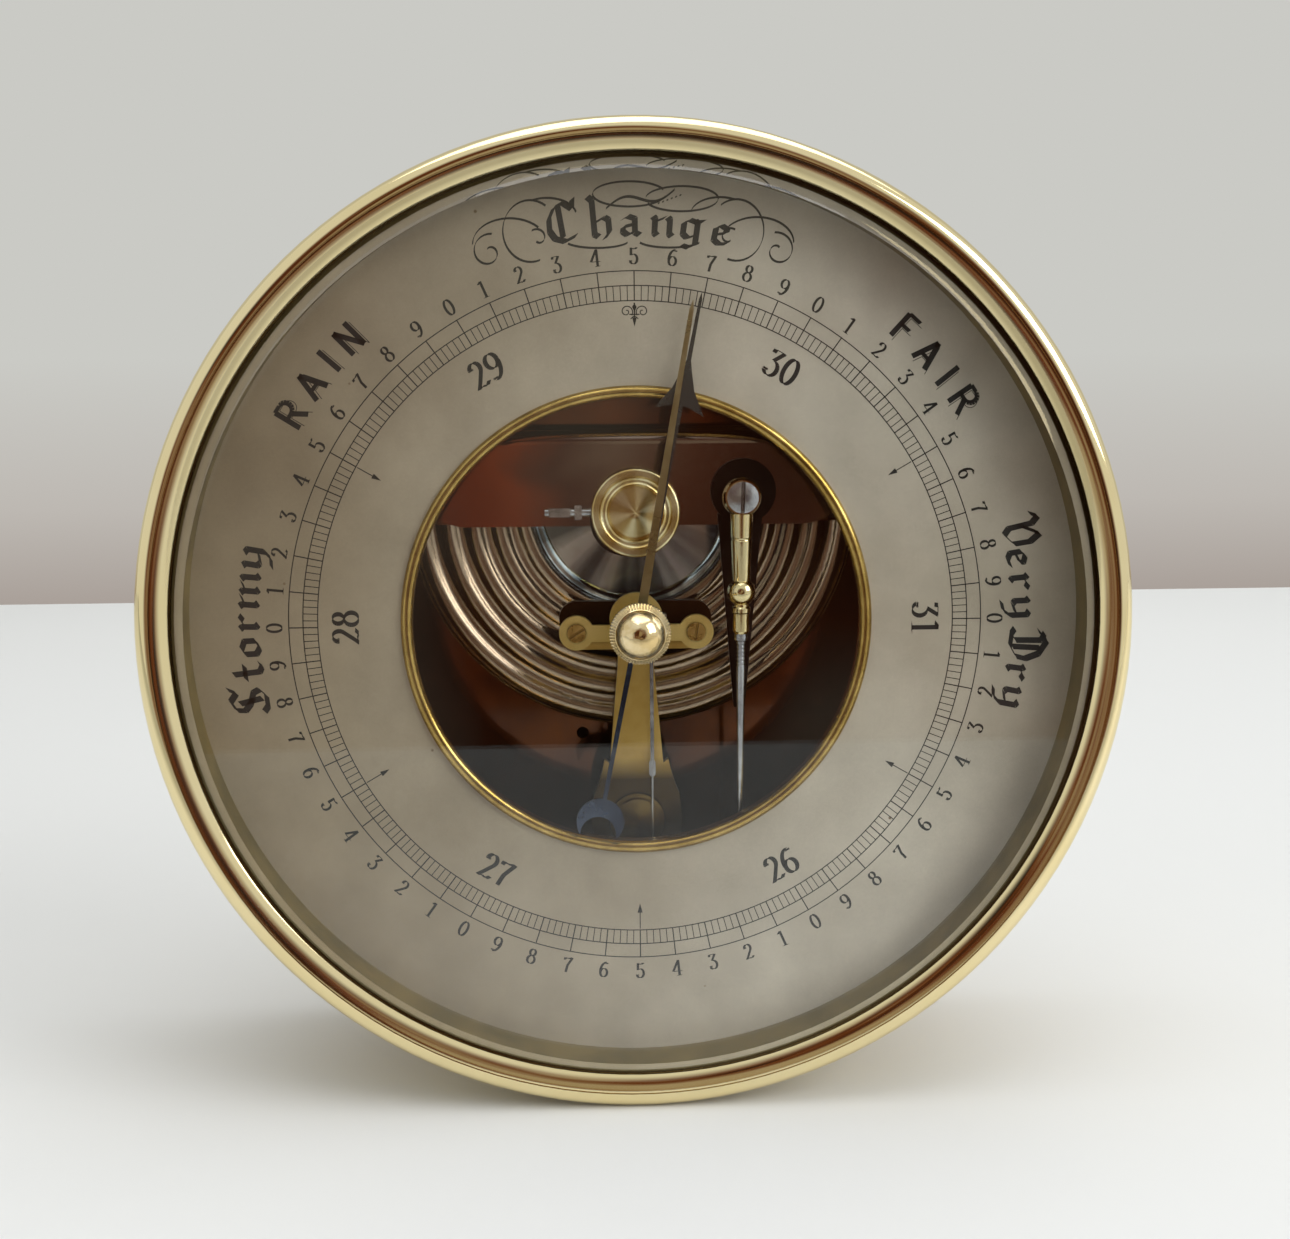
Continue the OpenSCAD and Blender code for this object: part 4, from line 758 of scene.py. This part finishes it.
BLACK_LETTER = {
    "n": [minim(0.12), [(0.12, 0.72), (0.42, 0.96)], minim(0.56)],
    "m": [minim(0.12), [(0.12, 0.72), (0.40, 0.96)], minim(0.54), [(0.54, 0.72), (0.82, 0.96)],
          minim(0.96)],
    "h": [[(0.0, 1.62), (0.12, 1.50), (0.12, 0.14), (0.24, 0.02)], [(0.12, 0.72), (0.42, 0.96)],
          [(0.44, 0.98), (0.56, 0.84), (0.56, 0.20), (0.40, -0.12)]],
    "a": [[(0.10, 0.80), (0.24, 0.98), (0.46, 0.86), (0.46, 0.14), (0.60, 0.02)],
          [(0.46, 0.58), (0.12, 0.44), (0.10, 0.20), (0.24, 0.02), (0.46, 0.20)]],
    "g": [[(0.46, 0.90), (0.24, 0.98), (0.10, 0.80), (0.10, 0.22), (0.24, 0.04), (0.46, 0.22)],
          [(0.40, 0.98), (0.50, 0.86), (0.50, -0.20), (0.34, -0.44), (0.10, -0.36)],
          [(0.46, 0.92), (0.68, 1.0)]],
    "e": [[(0.52, 0.12), (0.28, 0.02), (0.12, 0.18), (0.12, 0.82), (0.26, 0.98), (0.46, 0.84),
           (0.44, 0.64), (0.16, 0.48)]],
    "t": [[(0.20, 1.32), (0.20, 0.16), (0.34, 0.02), (0.48, 0.12)], [(0.0, 0.94), (0.44, 0.94)]],
    "o": [[(0.24, 0.98), (0.10, 0.80), (0.10, 0.20), (0.26, 0.02)],
          [(0.26, 0.98), (0.50, 0.80), (0.50, 0.20), (0.26, 0.02)]],
    "r": [minim(0.12), [(0.12, 0.72), (0.34, 0.96)], [(0.32, 0.98), (0.46, 0.84)]],
    "y": [minim(0.12, foot=0.22), [(0.20, 0.08), (0.50, 0.26)],
          [(0.44, 0.98), (0.56, 0.86), (0.56, -0.05), (0.40, -0.42), (0.12, -0.52)]],
    "C": [[(0.86, 1.34), (0.62, 1.56), (0.34, 1.46), (0.14, 1.16), (0.10, 0.66), (0.22, 0.24),
           (0.50, 0.02), (0.86, 0.22)],
          [(0.46, 1.48), (0.46, 0.20)], [(0.86, 1.34), (0.92, 1.62)]],
    "S": [[(0.74, 1.34), (0.52, 1.56), (0.22, 1.44), (0.16, 1.18), (0.34, 0.96), (0.66, 0.70),
           (0.72, 0.36), (0.50, 0.06), (0.16, 0.10), (0.02, 0.34)],
          [(0.40, 1.30), (0.44, 0.30)], [(0.74, 1.34), (0.90, 1.58)]],
    "V": [[(-0.02, 1.34), (0.12, 1.58), (0.30, 1.36), (0.30, 0.36), (0.46, 0.06)],
          [(0.46, 0.06), (0.80, 0.46), (0.84, 1.20), (0.66, 1.54), (0.56, 1.36)],
          [(0.30, 1.0), (0.60, 1.46)]],
    "D": [[(0.08, 1.50), (0.30, 1.40), (0.34, 0.30), (0.14, 0.06), (-0.02, 0.22)],
          [(0.0, 1.28), (0.30, 1.60), (0.72, 1.36), (0.90, 0.92), (0.84, 0.40), (0.52, 0.04),
           (0.14, 0.08)],
          [(0.54, 1.40), (0.54, 0.16)]],
    " ": [],
}
LETTER_ROOM = {"n": 1.62, "m": 2.25, "h": 1.66, "a": 1.62, "g": 1.60, "e": 1.40, "t": 1.30,
               "o": 1.50, "r": 1.45, "y": 1.55, "C": 2.05, "S": 1.95, "V": 1.95, "D": 2.05,
               " ": 0.45}
BLOCK = {
    "R": [[(0.0, 0), (0.0, 1)], [(0.0, 1), (0.28, 1)] + arc(0.28, 0.76, 0.22, 0.24, 90, -90, 8)
          + [(0.0, 0.52)], [(0.26, 0.50), (0.54, 0)]],
    "A": [[(0.0, 0), (0.30, 1), (0.60, 0)], [(0.12, 0.34), (0.48, 0.34)]],
    "I": [[(0.0, 0), (0.0, 1)]],
    "N": [[(0.0, 0), (0.0, 1), (0.52, 0), (0.52, 1)]],
    "F": [[(0.0, 0), (0.0, 1), (0.48, 1)], [(0.0, 0.54), (0.38, 0.54)]],
}
BLOCK_ROOM = {"R": 1.22, "A": 1.20, "I": 0.90, "N": 1.18, "F": 1.14}

# %% [markdown]
# The words bend round the scale letter by letter, each about its own angle and at its own
# radius. The capitals have a shade: a second, thin outline about half a millimetre to the
# right and below each letter, as a graver adds it.

# %% Weather words
SHADE_DROP = 0.7
SHADE_HAIR = 0.10


def middle_of(paths):
    """The middle of a letter's width, by which it is centred in its room."""
    reach = [x for path in paths for x, _ in path]
    return (min(reach) + max(reach)) / 2 if reach else 0


def word_on_ring(board, word, glyphs, room, radius, middle, size, nib, hair, broad=1.0, shade=0.0):
    """Writes a word round a circle, its foot inwards, centred on the angle middle."""
    cursor = -sum(room[c] for c in word) * size / 2
    for letter in word:
        cursor += room[letter] * size / 2
        angle = middle + math.degrees(cursor / radius)
        cursor += room[letter] * size / 2
        centred = {letter: [[(x - middle_of(glyphs[letter]), y) for x, y in path]
                            for path in glyphs[letter]]}
        x, w = ring_place(radius, angle)
        write(board, letter, centred, (x, w), angle, size, nib, hair, 0, broad)
        if shade:
            a = math.radians(angle)
            beside = (x + shade * (math.cos(a) - SHADE_DROP * math.sin(a)),
                      w - shade * (math.sin(a) + SHADE_DROP * math.cos(a)))
            write(board, letter, centred, beside, angle, size, (0, 0), SHADE_HAIR, 0, broad)


PEN_WIDE, PEN_SLANT = 0.32, math.radians(35)
PEN = (PEN_WIDE * math.cos(PEN_SLANT), PEN_WIDE * math.sin(PEN_SLANT))
X_HEIGHT, BLACK_HAIR, BLACK_BROAD = 2.75, 0.13, 1.75
BLOCK_HEIGHT, BLOCK_NIB, BLOCK_HAIR, BLOCK_BROAD = 4.1, (0.05, 0.0), 0.58, 1.05
SHADE = 0.58
BLACK_WORDS = (("Change", 57.1, 0.9, 1.0), ("Stormy", 56.5, 269.7, 0.91),
               ("Very Dry", 56.7, 89.2, 0.89))
BLOCK_WORDS = (("RAIN", 58.2, 308.8), ("FAIR", 57.6, 49.6))

words = Engraving()
for word, radius, middle, spread in BLACK_WORDS:
    room = {letter: wide * spread for letter, wide in LETTER_ROOM.items()}
    word_on_ring(words, word, BLACK_LETTER, room, radius, middle, X_HEIGHT, PEN, BLACK_HAIR,
                 BLACK_BROAD)
for word, radius, middle in BLOCK_WORDS:
    word_on_ring(words, word, BLOCK, BLOCK_ROOM, radius, middle, BLOCK_HEIGHT, BLOCK_NIB,
                 BLOCK_HAIR, BLOCK_BROAD, SHADE)
words.finish("weather_words")

# %% [markdown]
# Penmen framed the top word with flourishes: scrolls that swell and thin as the pen turns.
# A scroll here is a spiral whose radius shrinks as it winds, and the sweeps above the word
# are parts of flat ellipses. Both halves are mirror images, as engravers laid them out.

# %% Flourishes round the top word
SWELL = (0.10, 0.22)
flourish = Engraving()
for side in (-1, 1):
    scrolls = (
        spiral(20.6, 53.5, 0.5, 2.6, 60, 400, 34),
        arc(17.6, 54.6, 5.3, 3.6, 0, 140, 16),
        spiral(13.6, 55.4, 0.5, 1.4, -60, -250, 20),
        arc(14.7, 56.4, 3.9, 4.3, -110, 125, 26),
        arc(12.3, 58.6, 4.2, 2.4, 60, 170, 12),
        arc(5.2, 55.1, 4.6, 1.1, 200, 335, 14),
    )
    for path in scrolls:
        flourish.stroke([(side * x, w) for x, w in path], SWELL, 0.09)
for middle, high, low_turn in ((-0.6, 61.5, 20), (6.9, 60.8, -160)):
    flourish.stroke(arc(middle, high, 5.2, 1.75, low_turn, low_turn + 330, 36), SWELL, 0.08)
wave = [(-3.9 + 9.8 * t, 59.5 + 2.6 * t + 0.9 * math.sin(2 * math.pi * t))
        for t in (i / 20 for i in range(21))]
flourish.stroke(wave, (0.12, 0.34), 0.06)
for i in range(6):
    flourish.stroke(arc(3.6 + 0.62 * i, 60.2 + 0.22 * i, 0.08, 0.08, 0, 360, 6), (0.1, 0.1), 0.08)
flourish.finish("top_flourishes")

# %% [markdown]
# The desk is white, the wall behind it pale. The desk ends in front just below the lens, so
# the upright glass mirrors pale desk in its lower part and the dim room above, as in any
# photograph taken by someone who stands at a table.

# %% Desk and wall
DESK_FRONT, DESK_REAR = -0.28, 0.61
HALF_WIDE = 1.6
SHADED_FROM, SHADED_TO = -0.09, -0.20
WALL_Y, WALL_HALF, WALL_LOW, WALL_HIGH = 0.95, 3, -1, 2.5
FOOT_LOW, FOOT_HIGH = -0.05, 0.13


def white_desk():
    """White laminate, darker towards the front edge, where the one who looks on shades it."""
    material, tree = new_material("white desk laminate")
    place = add(tree, "TexCoord").outputs["Object"]
    split = add(tree, "SeparateXYZ", {}, {0: place})
    to_front = add(tree, "MapRange", {"From Min": SHADED_FROM, "From Max": SHADED_TO},
                   {"Value": split.outputs["Y"]})
    drift = add(tree, "TexNoise", {"Scale": per_mm(400), "Detail": 2.0}, {"Vector": place})
    paint = add(tree, "Mix", {"data_type": "RGBA", 6: tone("#DEE0E0"), 7: tone("#E6E7E7")},
                {0: drift})
    shaded = add(tree, "Mix", {"data_type": "RGBA", 7: tone("#A6A6A3")},
                 {0: to_front, 6: paint.outputs[2]})
    shader = add(tree, "BsdfPrincipled", {"Roughness": 0.55, "IOR": 1.5},
                 {"Base Color": shaded.outputs[2]})
    return close_material(material, tree, shader)


def pale_wall():
    """Matt wall paint. The camera, mirrors and glass see it at an even tone, with painted shade at
    its foot.
    """
    material, tree = new_material("pale matt wall paint")
    place = add(tree, "TexCoord").outputs["Object"]
    split = add(tree, "SeparateXYZ", {}, {0: place})
    height = add(tree, "MapRange", {"From Min": FOOT_LOW, "From Max": FOOT_HIGH},
                 {"Value": split.outputs["Z"]})
    # The dark foot of this ramp is painted shade just above the desk.
    colour = add(tree, "ValToRGB", {}, {"Fac": height},
                 ((0.0, "#A69C95"), (0.42, "#BDB8B2"), (1.0, "#CACAC5")))
    matt = add(tree, "BsdfDiffuse", {}, {"Color": colour})
    even = add(tree, "Emission", {"Strength": 1.0}, {"Color": colour})
    ray = add(tree, "LightPath")
    seen = add(tree, "Math", {"operation": "MAXIMUM"},
               {0: ray.outputs["Is Camera Ray"], 1: ray.outputs["Is Glossy Ray"]})
    seen = add(tree, "Math", {"operation": "MAXIMUM"},
               {0: seen, 1: ray.outputs["Is Transmission Ray"]})
    shader = add(tree, "MixShader", {}, {0: seen, 1: matt, 2: even})
    return close_material(material, tree, shader)


def stage_sheet(name, corners, material):
    """A flat stage surface through four corners."""
    data = bpy.data.meshes.new(name)
    data.from_pydata(corners, [], [(0, 1, 2, 3)])
    piece = bpy.data.objects.new(name, data)
    bpy.context.scene.collection.objects.link(piece)
    data.materials.append(material)


stage_sheet("desk", [(-HALF_WIDE, DESK_FRONT, 0), (HALF_WIDE, DESK_FRONT, 0),
                     (HALF_WIDE, DESK_REAR, 0), (-HALF_WIDE, DESK_REAR, 0)], white_desk())
stage_sheet("wall", [(-WALL_HALF, WALL_Y, WALL_LOW), (WALL_HALF, WALL_Y, WALL_LOW),
                     (WALL_HALF, WALL_Y, WALL_HIGH), (-WALL_HALF, WALL_Y, WALL_HIGH)], pale_wall())

# %% [markdown]
# The light is a room's: white walls and ceiling all round, two broad soft lamps, and behind
# the camera the dim part of the room with its brown and red furniture. Polished brass and
# glass only look right if they have such contrasts to mirror. The room is painted on the
# world by direction: a dark cone about one direction, with soft coloured patches in it.

# %% Room light
world = bpy.data.worlds.new("room")
bpy.context.scene.world = world
world.use_nodes = True
room = world.node_tree
room.nodes.clear()
DIM_SIDE = Vector((-0.08, -0.98, 0.05)).normalized()
DIM_WITHIN, BRIGHT_BEYOND = math.radians(20), math.radians(38)
direction = add(room, "TexCoord").outputs["Generated"]
towards = add(room, "VectorMath", {"operation": "DOT_PRODUCT", 1: DIM_SIDE}, {0: direction})
bright = add(room, "MapRange",
             {"interpolation_type": "SMOOTHSTEP", "From Min": math.cos(DIM_WITHIN),
              "From Max": math.cos(BRIGHT_BEYOND)}, {"Value": towards.outputs["Value"]})
patches = add(room, "TexNoise", {"Scale": 3.4, "Detail": 2.0, "Roughness": 0.6},
              {"Vector": direction})
furniture = add(room, "ValToRGB", {}, {"Fac": patches},
                ((0.38, "#2A1C13"), (0.50, "#673A26"), (0.66, "#A39682")))
walls = add(room, "Mix", {"data_type": "RGBA", 7: tone("#E2E3E2")}, {0: bright, 6: furniture})
sky = add(room, "Background", {"Strength": 1.0}, {"Color": walls.outputs[2]})
add(room, "OutputWorld", {}, {"Surface": sky})


def soft_lamp(name, place, aim, wide, high, power, colour):
    """A rectangular area lamp at place, facing aim."""
    data = bpy.data.lights.new(name, "AREA")
    data.shape = "RECTANGLE"
    data.size, data.size_y = wide, high
    data.energy = power
    data.color = tone(colour)[:3]
    lamp = bpy.data.objects.new(name, data)
    bpy.context.scene.collection.objects.link(lamp)
    lamp.location = place
    lamp.rotation_euler = (Vector(aim) - Vector(place)).to_track_quat("-Z", "Y").to_euler()


soft_lamp("ceiling_light", (0.1, -0.05, 1.5), (0, 0.1, 0), 1.6, 1.1, 9, "#FFFFFF")
soft_lamp("window_light", (1.2, -0.75, 0.8), (0, 0, 0.06), 0.9, 0.9, 12, "#FFFFFF")

# %% [markdown]
# The camera was worked out from the scale circles: it stands 248 mm in front of the dial,
# a little to the left and 34 mm above its middle, and looks slightly down. Its axes are
# written as measured, and the lens follows from the picture's scale.

# %% Camera
CAMERA_PLACE = dial_point(-8.6, 33.9, 248.1)
SENSOR = 36.0
FOCAL_PIXELS, PHOTO_WIDE = 1697.2, 1290
RIGHT = Vector((0.99914, -0.04058, -0.00877)).normalized()
AHEAD = Vector((0.03904, 0.99021, -0.13402)).normalized()
UP = RIGHT.cross(AHEAD)
camera_data = bpy.data.cameras.new("camera")
camera_data.sensor_width = SENSOR
camera_data.lens = SENSOR * FOCAL_PIXELS / PHOTO_WIDE
camera = bpy.data.objects.new("camera", camera_data)
bpy.context.scene.collection.objects.link(camera)
axes = Matrix((RIGHT, UP, -AHEAD)).transposed().to_4x4()
camera.matrix_world = Matrix.Translation(CAMERA_PLACE) @ axes
bpy.context.scene.camera = camera
bpy.context.scene.view_settings.view_transform = "Standard"
print("camera at", [round(v, 4) for v in camera.location], "lens", round(camera_data.lens, 2))
